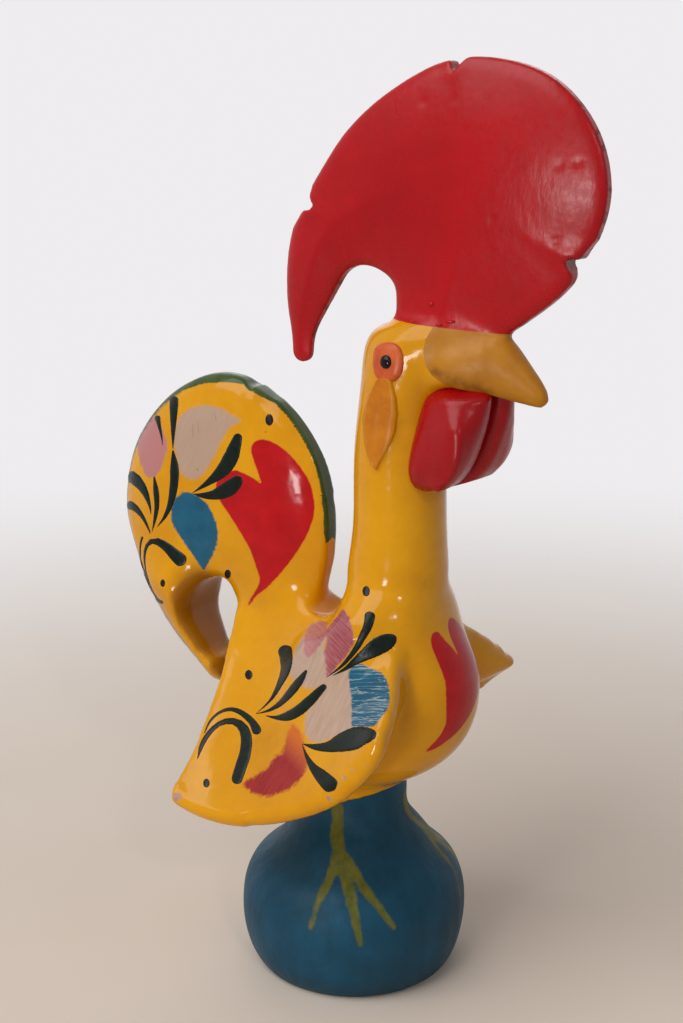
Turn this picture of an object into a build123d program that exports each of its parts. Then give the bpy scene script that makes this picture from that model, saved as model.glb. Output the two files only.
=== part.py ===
from build123d import *
import os

# Rooster of Barcelos: a painted earthenware figurine, hand-built from clay pieces that are luted together.
# +X is forward (the beak), +Y is the rooster's left, +Z is up, and all sizes are in millimetres.
# The origin is the centre of the base's foot, on the surface that the figurine stands on.

# Base: a bell thrown on the wheel, open below and domed inside, with a collar that enters the body's socket
FOOT_RADIUS = 32.5
BULGE_RADIUS = 38.5
BULGE_HEIGHT = 17.0
SHOULDER_RADIUS = 36.2
SHOULDER_HEIGHT = 33.5
SLOPE_RADIUS = 25.8
SLOPE_HEIGHT = 45.0
THROAT_RADIUS = 16.8
THROAT_HEIGHT = 60.0
BASE_HEIGHT = 68.0
BASE_WALL = 5.0
HOLLOW_HEIGHT = 53.0
COLLAR_RADIUS = 13.0
COLLAR_HEIGHT = 7.0

# Body: a pear whose hem laps over the base's throat, lower behind than in front
BODY_HEIGHT = 72.0
HEM_RADIUS = 19.5
HEM_DROP = 5.0
HEM_TILT = 15.0
SKIRT_HEIGHT = 6.0
SKIRT_FORWARD = 2.5
SKIRT_RADIUS = 25.0
RUMP_HEIGHT = 14.0
RUMP_FORWARD = 5.0
RUMP_RADIUS = 31.8
BELLY_HEIGHT = 32.0
BELLY_FORWARD = 8.0
BELLY_HALF_LENGTH = 35.8
BELLY_HALF_WIDTH = 31.0
BACK_HEIGHT = 53.0
BACK_FORWARD = 13.5
BACK_HALF_LENGTH = 27.5
BACK_HALF_WIDTH = 26.5

# Neck and head: one pulled piece that stands on the body and flattens into the crown
NECK_HEIGHT = 84.0
NECK_FORWARD = 17.0
NECK_ROOT_RADIUS = 16.8
NECK_WAIST_RADIUS = 15.6
NECK_MIDDLE_RADIUS = 14.8
NECK_RADIUS = 14.0
JAW_DROP = 17.0
JAW_FORWARD = 19.5
JAW_HALF_LENGTH = 15.0
JAW_HALF_WIDTH = 13.0
HEAD_DROP = 8.5
HEAD_FORWARD = 22.0
HEAD_HALF_LENGTH = 16.8
HEAD_HALF_WIDTH = 12.0
CROWN_FORWARD = 28.0
CROWN_HALF_LENGTH = 13.0
CROWN_HALF_WIDTH = 8.0

# Comb: a thick slab pressed into the crown, with a hook behind and three nicks in its rim
COMB_THICKNESS = 13.0
COMB_ROUNDING = 3.0
COMB_TIP_RADIUS = 3.4
NICK_WIDTH = 6.0
NICK_DEPTH = 5.0

# Beak: a solid wedge with rounded sides that drops to its tip
BEAK_LENGTH = 42.0
BEAK_ROOT_HEIGHT = 20.5
BEAK_ROOT_WIDTH = 18.0
BEAK_ROOT_FORWARD = 26.0
BEAK_DROP = 12.2
BEAK_TIP_DROP = 8.3

# Tail: a slab on the back that curls over into a hook, thickest half-way up its height
TAIL_FOOT_THICKNESS = 10.0
TAIL_THICKNESS = 18.0
TAIL_TOP_THICKNESS = 11.0
TAIL_ROUNDING = 4.5
TAIL_TIP_RADIUS = 5.0

# Wings: plates that flare from the body and the tail's root to a low rear tip
WING_HALF_SPAN = 50.0
WING_EDGE_THICKNESS = 7.0
WING_ROOT_THICKNESS = 14.0

# Eyes, wattles and ear lobes: small pads luted on the head and the neck
EYE_LENGTH = 11.4
EYE_TALL = 13.2
EYE_DEPTH = 3.2
EYE_SPREAD = 11.4
EYE_FORWARD = 19.6
EYE_DROP = 11.6
WATTLE_LENGTH = 24.5
WATTLE_THICKNESS = 13.0
WATTLE_TALL = 36.5
WATTLE_SPREAD = 8.5
WATTLE_FORWARD = 38.0
WATTLE_DROP = 15.0
EAR_LOBE_LENGTH = 33.0
EAR_LOBE_WIDTH = 12.0
EAR_LOBE_RISE = 2.4
EAR_LOBE_DROP = 31.0
EAR_LOBE_BULGE = 2.0
EAR_LOBE_CREASE = 0.9

# Clearance round the collar in its socket
LUTE_GAP = 0.15

body_seat = BASE_HEIGHT
neck_seat = body_seat + BODY_HEIGHT
crown = neck_seat + NECK_HEIGHT


def level_oval(height, centre, half_length, half_width):
    """A level oval section, centred on the plane of symmetry."""
    return Pos(centre, 0, height) * Ellipse(half_length, half_width)


def upright_oval(forward, height, half_height, half_width):
    """An oval section across the direction of the beak."""
    plane = Plane((forward, 0, height), x_dir=(0, 0, 1), z_dir=(1, 0, 0))
    return plane * Ellipse(half_height, half_width)


def side_slab(outline, thickness):
    """A slab whose outline is drawn from the side, spread evenly about the plane of symmetry."""
    return extrude(Plane.XZ.offset(-thickness / 2) * make_face(outline), amount=thickness)


def rim_edges(slab):
    """The edges round a slab's two faces, without those that cross its thickness."""
    return [edge for edge in slab.edges() if abs(edge.center().Y) > 1e-6]


def shifted(points, forward, up):
    """The points of an outline, moved to their seat."""
    return [(x + forward, z + up) for x, z in points]


def heading(before, here, after):
    """The direction, at the middle one of three points, of the circle through them."""
    first = here - before
    second = after - here
    return (first.normalized() * second.length + second.normalized() * first.length).normalized()


def smooth_arcs(points, start_way, end_way):
    """A smooth line through points, of two arcs from one to the next, with its end directions given."""
    spots = [Vector(*point) for point in points]
    ways = [heading(*spots[i - 1:i + 2]) for i in range(1, len(spots) - 1)]
    ways = [Vector(*start_way).normalized(), *ways, Vector(*end_way).normalized()]
    arcs = []
    for start, way, end, next_way in zip(spots, ways, spots[1:], ways[1:]):
        gap = end - start
        reach = gap.dot(way + next_way)
        bend = 2 * (1 - way.dot(next_way)) * gap.dot(gap)
        length = gap.dot(gap) / (reach + (reach ** 2 + bend) ** 0.5)
        middle = (start + end + (way - next_way) * length) / 2
        arcs += [TangentArc(start, middle, tangent=way), TangentArc(end, middle, tangent=next_way * -1)]
    return arcs


def nick(forward, height, turn):
    """A V-shaped cut through a slab's rim. Turn is where it opens, in degrees from +X towards +Z."""
    wedge = Polyline((-NICK_DEPTH, 0), (NICK_DEPTH, NICK_WIDTH), (NICK_DEPTH, -NICK_WIDTH), close=True)
    seat = Pos(forward, height) * Rot(0, 0, turn)
    return extrude(Plane.XZ * seat * make_face(wedge), amount=COMB_THICKNESS + TAIL_THICKNESS, both=True)


# Directions in which the bell's profile leaves the foot, enters the throat, and closes over the hollow
FOOT_LEAN = (0.9, 1)
UPWARD = (0, 1)
INWARD = (-1, 0)


def make_base_outside():
    """The bell and its collar, filled in."""
    collar_top = BASE_HEIGHT + COLLAR_HEIGHT
    flank = smooth_arcs([(FOOT_RADIUS, 0), (BULGE_RADIUS, BULGE_HEIGHT), (SHOULDER_RADIUS, SHOULDER_HEIGHT),
                         (SLOPE_RADIUS, SLOPE_HEIGHT), (THROAT_RADIUS, THROAT_HEIGHT)], FOOT_LEAN, UPWARD)
    rest = Polyline((THROAT_RADIUS, THROAT_HEIGHT), (THROAT_RADIUS, BASE_HEIGHT),
                    (COLLAR_RADIUS, BASE_HEIGHT), (COLLAR_RADIUS, collar_top), (0, collar_top), (0, 0),
                    (FOOT_RADIUS, 0))
    return revolve(Plane.XZ * make_face([*flank, rest]), Axis.Z, 360)


def make_base_bell(outside):
    """The thrown wall: the bell without its domed hollow."""
    dome = smooth_arcs([(FOOT_RADIUS - BASE_WALL, 0), (BULGE_RADIUS - BASE_WALL, BULGE_HEIGHT),
                        (SHOULDER_RADIUS - BASE_WALL, SHOULDER_HEIGHT - BASE_WALL),
                        (SLOPE_RADIUS - BASE_WALL, SLOPE_HEIGHT - BASE_WALL), (0, HOLLOW_HEIGHT)],
                       FOOT_LEAN, INWARD)
    rest = Polyline((0, HOLLOW_HEIGHT), (0, 0), (FOOT_RADIUS - BASE_WALL, 0))
    return outside - revolve(Plane.XZ * make_face([*dome, rest]), Axis.Z, 360)


def make_body(base_outside):
    """The pear, cut to sit on the base's throat, with a socket for the collar."""
    hem = Pos(0, 0, body_seat - HEM_DROP) * Rot(0, -HEM_TILT, 0) * Circle(HEM_RADIUS)
    pear = loft([
        hem,
        level_oval(body_seat + SKIRT_HEIGHT, SKIRT_FORWARD, SKIRT_RADIUS, SKIRT_RADIUS),
        level_oval(body_seat + RUMP_HEIGHT, RUMP_FORWARD, RUMP_RADIUS, RUMP_RADIUS),
        level_oval(body_seat + BELLY_HEIGHT, BELLY_FORWARD, BELLY_HALF_LENGTH, BELLY_HALF_WIDTH),
        level_oval(body_seat + BACK_HEIGHT, BACK_FORWARD, BACK_HALF_LENGTH, BACK_HALF_WIDTH),
        level_oval(neck_seat, NECK_FORWARD, NECK_ROOT_RADIUS, NECK_ROOT_RADIUS)])
    depth = COLLAR_HEIGHT + LUTE_GAP
    socket = Pos(0, 0, body_seat + depth / 2) * Cylinder(COLLAR_RADIUS + LUTE_GAP, depth)
    return pear - base_outside - socket


# Rings of the neck, bottom to top: share of the neck's height, and radius
NECK_RINGS = [(0.0, NECK_ROOT_RADIUS), (0.15, NECK_WAIST_RADIUS), (0.36, NECK_MIDDLE_RADIUS),
              (0.6, NECK_RADIUS)]


def make_neck(swell=0.0):
    """The neck and head. Swell lays an even skin over them."""
    return loft([
        *[level_oval(neck_seat + NECK_HEIGHT * share, NECK_FORWARD, radius + swell, radius + swell)
          for share, radius in NECK_RINGS],
        level_oval(crown - JAW_DROP, JAW_FORWARD, JAW_HALF_LENGTH + swell, JAW_HALF_WIDTH + swell),
        level_oval(crown - HEAD_DROP, HEAD_FORWARD, HEAD_HALF_LENGTH + swell, HEAD_HALF_WIDTH + swell),
        level_oval(crown, CROWN_FORWARD, CROWN_HALF_LENGTH + swell, CROWN_HALF_WIDTH + swell)])


# Rings of the beak, root to tip: shares of its length, of its tip's drop, of its root's height and width
BEAK_RINGS = [(0.0, 0.0, 1.0, 1.0), (0.4, 0.0, 1.0, 0.85), (0.68, 0.06, 0.95, 0.66), (0.86, 0.6, 0.57, 0.42),
              (0.965, 0.92, 0.27, 0.22)]


def make_beak():
    """An upright wedge. Its root lies in the front of the head, and its top runs level and then drops."""
    middle = crown - BEAK_DROP
    rings = [upright_oval(BEAK_ROOT_FORWARD + BEAK_LENGTH * along, middle - BEAK_TIP_DROP * drop,
                          BEAK_ROOT_HEIGHT / 2 * tall, BEAK_ROOT_WIDTH / 2 * wide)
             for along, drop, tall, wide in BEAK_RINGS]
    return loft([*rings, Vertex(BEAK_ROOT_FORWARD + BEAK_LENGTH, 0, middle - BEAK_TIP_DROP)])


# Comb outline from the side: forward of the neck's axis, and up from the crown
COMB_CREST = [(-38.9, 7.0), (-31.5, 36.0), (-5.0, 68.3), (25.0, 79.3), (53.0, 69.5), (65.8, 43.5),
              (60.0, 21.0), (37.0, -1.5)]
COMB_HOOK = [(-1.0, 8.0), (-10.0, 16.6), (-26.0, 2.0)]
COMB_TIP = (-34.8, -12.4)
COMB_FOOT = [(30.0, -6.0), (-1.0, -6.0)]
COMB_NICKS = [(-32.0, 35.5, 155.0), (19.5, 79.5, 80.0), (59.5, 19.5, -40.0)]


def make_comb():
    crest = shifted(COMB_CREST, NECK_FORWARD, crown)
    hook = shifted(COMB_HOOK, NECK_FORWARD, crown)
    foot_front, foot_rear = shifted(COMB_FOOT, NECK_FORWARD, crown)
    tip_x, tip_z = shifted([COMB_TIP], NECK_FORWARD, crown)[0]
    tip_rear = (tip_x - COMB_TIP_RADIUS, tip_z)
    tip_low = (tip_x, tip_z - COMB_TIP_RADIUS)
    tip_front = (tip_x + COMB_TIP_RADIUS, tip_z)
    foot_slope = (foot_front[0] - crest[-1][0], foot_front[1] - crest[-1][1])
    slab = side_slab([
        *smooth_arcs([tip_rear, *crest], (0, 1), foot_slope),
        Line(crest[-1], foot_front),
        Line(foot_front, foot_rear),
        Line(foot_rear, hook[0]),
        *smooth_arcs([*hook, tip_front], (0, 1), (0, -1)),
        ThreePointArc(tip_front, tip_low, tip_rear)], COMB_THICKNESS)
    slab = fillet(rim_edges(slab), min(COMB_ROUNDING, COMB_TIP_RADIUS * 0.9))
    for forward, up, turn in COMB_NICKS:
        slab -= nick(forward + NECK_FORWARD, up + crown, turn)
    return slab


# Tail outline from the side: forward of the base's axis, and up from the body's seat
TAIL_CREST = [(-4.0, 44.0), (-13.2, 66.0), (-12.8, 90.0), (-19.5, 112.5), (-33.0, 127.5), (-50.0, 133.6),
              (-68.0, 127.5), (-84.6, 110.3), (-92.2, 87.0), (-88.0, 62.0), (-76.5, 41.5)]
TAIL_TIP = (-56.0, 27.6)
TAIL_HOLLOW = [(-58.8, 37.0), (-63.6, 51.0), (-53.6, 62.0), (-43.2, 50.0), (-34.0, 24.0)]
TAIL_FOOT = (-14.0, 18.0)
TAIL_NICK = (-40.5, 133.5, 115.0)


def make_tail():
    crest = shifted(TAIL_CREST, 0, body_seat)
    hollow = shifted(TAIL_HOLLOW, 0, body_seat)
    foot, (tip_x, tip_z) = shifted([TAIL_FOOT, TAIL_TIP], 0, body_seat)
    lean = TAIL_TIP_RADIUS / 2 ** 0.5
    tip_rear = (tip_x - lean, tip_z - lean)
    tip_low = (tip_x + lean, tip_z - lean)
    tip_front = (tip_x + TAIL_TIP_RADIUS, tip_z)
    slab = side_slab([
        *smooth_arcs([*crest, tip_rear], (-0.5, 1), (1, -1)),
        ThreePointArc(tip_rear, tip_low, tip_front),
        *smooth_arcs([tip_front, *hollow], (0, 1), (0.5, -1)),
        Line(hollow[-1], foot),
        Line(foot, crest[0])], 2 * TAIL_THICKNESS)
    low = foot[1] - TAIL_ROUNDING
    top = max(z for x, z in crest) + TAIL_ROUNDING
    half_foot = TAIL_FOOT_THICKNESS / 2
    half_top = TAIL_TOP_THICKNESS / 2
    half_middle = TAIL_THICKNESS / 2
    waist = hollow[2][1]
    section = make_face([
        ThreePointArc((half_foot, low), (half_middle, waist), (half_top, top)),
        Line((half_top, top), (-half_top, top)),
        ThreePointArc((-half_top, top), (-half_middle, waist), (-half_foot, low)),
        Line((-half_foot, low), (half_foot, low))])
    slab = slab & extrude(Plane.YZ * section, amount=top, both=True)
    slab = fillet(rim_edges(slab), min(TAIL_ROUNDING, TAIL_TIP_RADIUS * 0.9))
    forward, up, turn = TAIL_NICK
    return slab - nick(forward, up + body_seat, turn)


# Wing stations, rear to front: place on the axis, skew of the section, root and edge of the outer face, and
# how far that face sags between them. The root is measured out from the plane of symmetry and up from the
# body's seat, and the edge out from the half span and up from the seat.
WING_STATIONS = [(-43.8, 0.06, (8.0, 56.0), (1.2, -1.0), 6.4),
                 (-24.0, 0.06, (6.0, 64.0), (1.0, -4.2), 5.0),
                 (-3.0, 0.06, (13.0, 63.0), (1.0, 0.4), 3.0),
                 (16.0, 0.06, (17.0, 62.0), (0.0, 11.7), 0.5),
                 (25.5, 0.20, (10.0, 63.0), (-1.0, 33.5), -1.5)]


def wing_section(forward, skew, root_place, edge_place, sag):
    """A plate's section: a thick root, a thinner edge, and a round end."""
    plane = Plane((forward, 0, 0), x_dir=(skew, 1, 0), z_dir=(1, -skew, 0))
    root = Vector(root_place[0], root_place[1] + body_seat)
    end = Vector(WING_HALF_SPAN + edge_place[0], edge_place[1] + body_seat)
    along = (end - root).normalized()
    inward = Vector(along.Y, -along.X)
    edge = end - along * (WING_EDGE_THICKNESS / 2)
    face_middle = (root + edge) / 2 + inward * sag
    under_edge = edge + inward * WING_EDGE_THICKNESS
    under_root = root + inward * WING_ROOT_THICKNESS
    tip = end + inward * (WING_EDGE_THICKNESS / 2)
    return plane * make_face([
        ThreePointArc(root, face_middle, edge),
        ThreePointArc(edge, tip, under_edge),
        Line(under_edge, under_root),
        Line(under_root, root)])


def make_left_wing():
    """The two wings meet at the plane of symmetry, under the tail's root."""
    plate = loft([wing_section(*station) for station in WING_STATIONS])
    return split(plate, bisect_by=Plane.XZ, keep=Keep.BOTTOM)


def make_left_eye():
    """A low oval dome on the side of the head."""
    ball = scale(Sphere(1), by=(EYE_LENGTH / 2, EYE_DEPTH, EYE_TALL / 2))
    return Pos(EYE_FORWARD, EYE_SPREAD, crown - EYE_DROP) * ball


# Rings of a wattle, top to bottom: share of its height, place forward as a share of its length, and shares of
# its length and thickness. Its root and tip are points, placed by shares of its length and thickness.
WATTLE_RINGS = [(0.07, 0.13, 0.56, 0.5), (0.3, 0.08, 0.84, 0.88), (0.6, 0.0, 1.0, 1.0),
                (0.82, -0.08, 0.86, 0.9)]
WATTLE_ROOT = (0.24, -0.15)
WATTLE_TIP = (-0.2, 0.0)


def make_left_wattle():
    """A thick hanging lobe, widest below its middle, pressed on the throat under the beak."""
    top = crown - WATTLE_DROP
    rings = [Pos(WATTLE_FORWARD + WATTLE_LENGTH * forward, WATTLE_SPREAD, top - WATTLE_TALL * share)
             * Ellipse(WATTLE_LENGTH / 2 * length, WATTLE_THICKNESS / 2 * width)
             for share, forward, length, width in WATTLE_RINGS]
    root = Vertex(WATTLE_FORWARD + WATTLE_LENGTH * WATTLE_ROOT[0],
                  WATTLE_SPREAD + WATTLE_THICKNESS * WATTLE_ROOT[1], top)
    tip = Vertex(WATTLE_FORWARD + WATTLE_LENGTH * WATTLE_TIP[0],
                 WATTLE_SPREAD + WATTLE_THICKNESS * WATTLE_TIP[1], top - WATTLE_TALL)
    return loft([root, *rings, tip])


def make_left_ear_lobe(neck):
    """A leaf-shaped pad that follows the neck, with a crease down its middle."""
    middle = Pos(NECK_FORWARD, crown - EAR_LOBE_DROP)
    half_length = EAR_LOBE_LENGTH / 2
    half_width = EAR_LOBE_WIDTH / 2
    leaf = make_face([
        ThreePointArc((0, half_length), (half_width, EAR_LOBE_BULGE), (0, -half_length)),
        ThreePointArc((0, -half_length), (-half_width, EAR_LOBE_BULGE), (0, half_length))])
    side = 2 * NECK_ROOT_RADIUS
    pad = extrude(Plane.XZ * middle * leaf, amount=-side) & make_neck(EAR_LOBE_RISE)
    groove = extrude(Plane.XZ * middle * Rectangle(EAR_LOBE_CREASE, half_length), amount=-side)
    return pad - neck - (groove - make_neck(EAR_LOBE_RISE - EAR_LOBE_CREASE))


os.makedirs("parts", exist_ok=True)
base_outside = make_base_outside()
body = make_body(base_outside)
neck = make_neck()
beak = make_beak() - neck
comb = make_comb() - neck - beak
tail = make_tail() - body
left_wing = make_left_wing() - body - tail
left_eye = make_left_eye() - neck
left_wattle = make_left_wattle() - neck - beak
left_ear_lobe = make_left_ear_lobe(neck) - left_eye

nodes = {"base_bell": make_base_bell(base_outside), "body": body, "neck": neck, "beak": beak, "comb": comb,
         "tail": tail}
pairs = {"wing": left_wing, "eye": left_eye, "wattle": left_wattle, "ear_lobe": left_ear_lobe}
for name, piece in pairs.items():
    nodes["left_" + name] = piece
    nodes["right_" + name] = mirror(piece, Plane.XZ)
for name, piece in nodes.items():
    piece.label = name
    export_step(piece, f"parts/{name}.step")
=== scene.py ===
import math

import bmesh
import bpy
import numpy as np
from mathutils import Euler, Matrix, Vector, noise
from mathutils.bvhtree import BVHTree
from mathutils.kdtree import KDTree


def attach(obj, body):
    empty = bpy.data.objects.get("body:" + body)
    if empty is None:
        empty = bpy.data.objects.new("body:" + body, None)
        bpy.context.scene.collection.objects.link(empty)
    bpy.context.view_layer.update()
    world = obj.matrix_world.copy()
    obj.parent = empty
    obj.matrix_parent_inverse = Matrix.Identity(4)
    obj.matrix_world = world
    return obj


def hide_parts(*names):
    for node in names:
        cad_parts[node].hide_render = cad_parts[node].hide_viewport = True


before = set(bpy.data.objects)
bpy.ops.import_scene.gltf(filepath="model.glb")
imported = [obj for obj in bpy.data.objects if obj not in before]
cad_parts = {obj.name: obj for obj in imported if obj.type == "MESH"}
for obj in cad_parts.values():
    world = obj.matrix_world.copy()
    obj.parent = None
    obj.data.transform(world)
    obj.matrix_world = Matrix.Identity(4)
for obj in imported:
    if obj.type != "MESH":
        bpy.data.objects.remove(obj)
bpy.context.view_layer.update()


# Viewpoint
# The viewpoint stands ahead of the bird's right side, a little above its back, looking down a little.
# The same sight lines place the brushwork on the clay, and their mirror image places it on the far side.
PICTURE_WIDTH = 683
PICTURE_HEIGHT = 1023
SIGHT_LENGTH = 1600
SENSOR = 36
LOOK_DOWN = 14.2
LOOK_TURN = 32
STAND = np.array((0.2675, -0.4365, 0.2892))
RIGHT_SIDE = -1
LEFT_SIDE = 1
SIDES = (RIGHT_SIDE, LEFT_SIDE)

scene = bpy.context.scene
scene.view_settings.view_transform = "Standard"
viewpoint = bpy.data.objects.new("viewpoint", bpy.data.cameras.new("viewpoint"))
viewpoint.data.sensor_width = SENSOR
viewpoint.data.lens = SENSOR * SIGHT_LENGTH / PICTURE_HEIGHT
viewpoint.location = STAND
viewpoint.rotation_euler = (math.radians(90 - LOOK_DOWN), 0, math.radians(LOOK_TURN))
scene.collection.objects.link(viewpoint)
scene.camera = viewpoint
turned = np.array(Euler(viewpoint.rotation_euler).to_matrix())
ACROSS, UPWARD, AHEAD = turned[:, 0], turned[:, 1], -turned[:, 2]


# Base bell
# The base is a bell of fired clay thrown by hand, open below, with the bird's legs only painted on it.
# It has a thin, satin blue distemper, streaked by the brush, dulled by handling and darker in patches round
# the foot.
MM = 0.001
BASE_GRAIN, BASE_RUBS = 1.1 * MM, 3
BASE_LEAN = 1.2 * MM
LEAN_FROM, LEAN_TO = 30 * MM, 62 * MM
BASE_LUMPS, LUMP_SIZE, LUMPS_FULL_AT = 0.45 * MM, 26 * MM, 12 * MM
LEG = ((337, 806, 12.5), (337, 832, 13), (338.8, 852, 13), (341.4, 870, 12))
TOES = (((337, 858, 12), (333, 870, 10), (323.6, 891, 8.5), (310.2, 927, 4.5)),
        ((341, 864, 12), (345.5, 878, 11), (353, 907, 9.8), (360.2, 944, 5.4)),
        ((342, 856, 12), (350, 866, 10), (362.9, 886, 9), (377.1, 905.5, 7), (394.1, 927, 4.5)))
LEFT_LEG_TURN = 95
LEGS_REACH = 9
DISTEMPER_SHINE = 0.2
THUMBED = ((300, 868, 13, 1.0), (396, 872, 13, 0.9), (428, 930, 11, 0.7), (352, 935, 12, 0.6))


def knot(tree, kind, inputs=(), **settings):
    """A shader node with its settings made and its inputs filled in or joined."""
    made = tree.nodes.new("ShaderNode" + kind)
    for key, value in settings.items():
        setattr(made, key, value)
    for key, value in dict(inputs).items():
        if isinstance(value, bpy.types.NodeSocket):
            tree.links.new(value, made.inputs[key])
        else:
            made.inputs[key].default_value = value
    return made


def reckon(tree, operation, *values, clamp=False):
    """A sum on shader values."""
    return knot(tree, "Math", enumerate(values), operation=operation, use_clamp=clamp).outputs[0]


def span(tree, value, low, high, first=0.0, last=1.0):
    """A value between two limits, spread from first to last and held there."""
    return knot(tree, "MapRange", {0: value, 1: low, 2: high, 3: first, 4: last}).outputs[0]


def coat(tree, amount, below, above):
    """One colour laid over another by an amount."""
    return knot(tree, "Mix", {0: amount, 6: below, 7: above}, data_type="RGBA").outputs[2]


def mottle(tree, place, size, low=0.35, high=0.65, detail=4.0, rough=0.6):
    """A cloudy pattern whose clouds are about one size across, in metres."""
    cloud = knot(tree, "TexNoise", {"Vector": place, "Scale": 1 / size,
                                    "Detail": detail, "Roughness": rough})
    return span(tree, cloud.outputs[0], low, high)


def stretched(tree, place, scale, turn=(0, 0, 0)):
    """A place with one direction drawn out, for brush streaks."""
    return knot(tree, "Mapping", {"Vector": place, "Scale": scale, "Rotation": turn}).outputs[0]


def field(tree, name):
    """A value kept on the mesh."""
    return knot(tree, "Attribute", attribute_name=name).outputs["Fac"]


def paint(red, green, blue):
    """A paint colour in screen values, turned into the values that a shader takes."""
    def straight(c):
        return c / 255 / 12.92 if c <= 10 else ((c / 255 + 0.055) / 1.055) ** 2.4
    return (straight(red), straight(green), straight(blue), 1)


def new_finish(name):
    """A bare material: its node tree, its shader and the place on the object."""
    made = bpy.data.materials.new(name)
    made.use_nodes = True
    tree = made.node_tree
    return made, tree, tree.nodes["Principled BSDF"], knot(tree, "TexCoord").outputs["Object"]


def raise_grain(tree, shader, height, distance, strength=1.0):
    """Relief in a finish."""
    relief = knot(tree, "Bump", {"Height": height, "Distance": distance, "Strength": strength})
    tree.links.new(relief.outputs[0], shader.inputs["Normal"])


def clay_skin(name, nodes, grain, swell=0.2 * MM):
    """One closed skin over copies of CAD solids, swollen a little so that luted joints run together."""
    bm = bmesh.new()
    for node in nodes:
        bm.from_mesh(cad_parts[node].data)
    bmesh.ops.remove_doubles(bm, verts=bm.verts, dist=1e-6)
    bm.normal_update()
    for v in bm.verts:
        v.co += v.normal * swell
    raw = bpy.data.meshes.new(name)
    bm.to_mesh(raw)
    bm.free()
    mould = bpy.data.objects.new(name, raw)
    scene.collection.objects.link(mould)
    press = mould.modifiers.new("press", "REMESH")
    press.mode = "VOXEL"
    press.voxel_size = grain
    skin = bpy.data.meshes.new_from_object(mould.evaluated_get(bpy.context.evaluated_depsgraph_get()))
    bpy.data.objects.remove(mould)
    bm = bmesh.new()
    bm.from_mesh(skin)
    return bm


def ramp(value, low, high):
    """A value's place between two limits, eased at both ends."""
    share = min(max((value - low) / (high - low), 0), 1)
    return share * share * (3 - 2 * share)


def rubbed(bm, verts, passes, factor=0.5):
    """Wet clay rubbed smooth."""
    for _ in range(passes):
        bmesh.ops.smooth_vert(bm, verts=verts, factor=factor,
                              use_axis_x=True, use_axis_y=True, use_axis_z=True)


def finished(tree, shader, colour, rough, shine):
    """A finish's colour, roughness and shine given to its shader."""
    tree.links.new(colour, shader.inputs["Base Color"])
    tree.links.new(rough, shader.inputs["Roughness"])
    shader.inputs["Specular IOR Level"].default_value = shine


def as_piece(name, bm, finish, replaced=()):
    """The finished piece: smooth shaded, riding on the figure and standing for its solids."""
    bmesh.ops.dissolve_degenerate(bm, dist=1e-7, edges=bm.edges)
    bmesh.ops.recalc_face_normals(bm, faces=bm.faces)
    for f in bm.faces:
        f.smooth = True
    mesh = bpy.data.meshes.new(name)
    bm.to_mesh(mesh)
    bm.free()
    mesh.materials.append(finish)
    piece = bpy.data.objects.new(name, mesh)
    scene.collection.objects.link(piece)
    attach(piece, "root")
    if replaced:
        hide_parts(*replaced)
    return piece


def points_of(mesh, what="co"):
    """Vertex places or normals as rows of numbers."""
    flat = np.zeros(len(mesh.vertices) * 3)
    mesh.vertices.foreach_get(what, flat)
    return flat.reshape(-1, 3)


def keep_field(piece, name, values):
    """Values kept on the mesh for its finish."""
    kind, part = ("FLOAT_VECTOR", "vector") if np.ndim(values) == 2 else ("FLOAT", "value")
    held = piece.data.attributes.new(name, kind, "POINT")
    held.data.foreach_set(part, np.ravel(values).astype(np.float32))


def smooth_line(points, closed=False, steps=6):
    """A smooth line through given points."""
    p = np.array(points, float)
    count = len(p)
    made = []
    for i in range(count if closed else count - 1):
        four = range(i - 1, i + 3)
        a, b, c, d = (p[k % count] if closed else p[min(max(k, 0), count - 1)] for k in four)
        for t in np.arange(steps) / steps:
            made.append(b + 0.5 * t * (c - a + t * (2 * a - 5 * b + 4 * c - d + t * (3 * (b - c) + d - a))))
    if not closed:
        made.append(p[-1])
    return np.array(made)


def off_line(points, line):
    """How far points are from a brushed line, less its half width there."""
    best = np.full(len(points), 1.0)
    for a, b in zip(line[:-1], line[1:]):
        run = b[:-1] - a[:-1]
        t = np.clip((points - a[:-1]) @ run / max(run @ run, 1e-12), 0, 1)
        away = np.linalg.norm(points - a[:-1] - t[:, None] * run, axis=1)
        best = np.minimum(best, away - (a[-1] + t * (b[-1] - a[-1])) / 2)
    return best


def sight_line(pixel, side=RIGHT_SIDE):
    """Start and direction of the line of sight through a picture pixel."""
    u = (pixel[0] - PICTURE_WIDTH / 2) / SIGHT_LENGTH
    v = (pixel[1] - PICTURE_HEIGHT / 2) / SIGHT_LENGTH
    flip = np.array((1, -side, 1))
    return Vector(STAND * flip), Vector((AHEAD + u * ACROSS - v * UPWARD) * flip).normalized()


def onto(tree, pixel, side=RIGHT_SIDE):
    """Where a line of sight meets the clay, the way the clay faces there, and how far off it is."""
    spot, way, _, far = tree.ray_cast(*sight_line(pixel, side))
    return spot, way, far


bell = clay_skin("base_bell", ("base_bell",), BASE_GRAIN, 0)
rubbed(bell, bell.verts, BASE_RUBS)
for v in bell.verts:
    v.co += Vector(ACROSS) * BASE_LEAN * ramp(v.co.z, LEAN_FROM, LEAN_TO)
    out = Vector((v.co.x, v.co.y, 0)).normalized()
    v.co += out * BASE_LUMPS * noise.noise(v.co / LUMP_SIZE) * min(1, v.co.z / LUMPS_FULL_AT)

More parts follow.
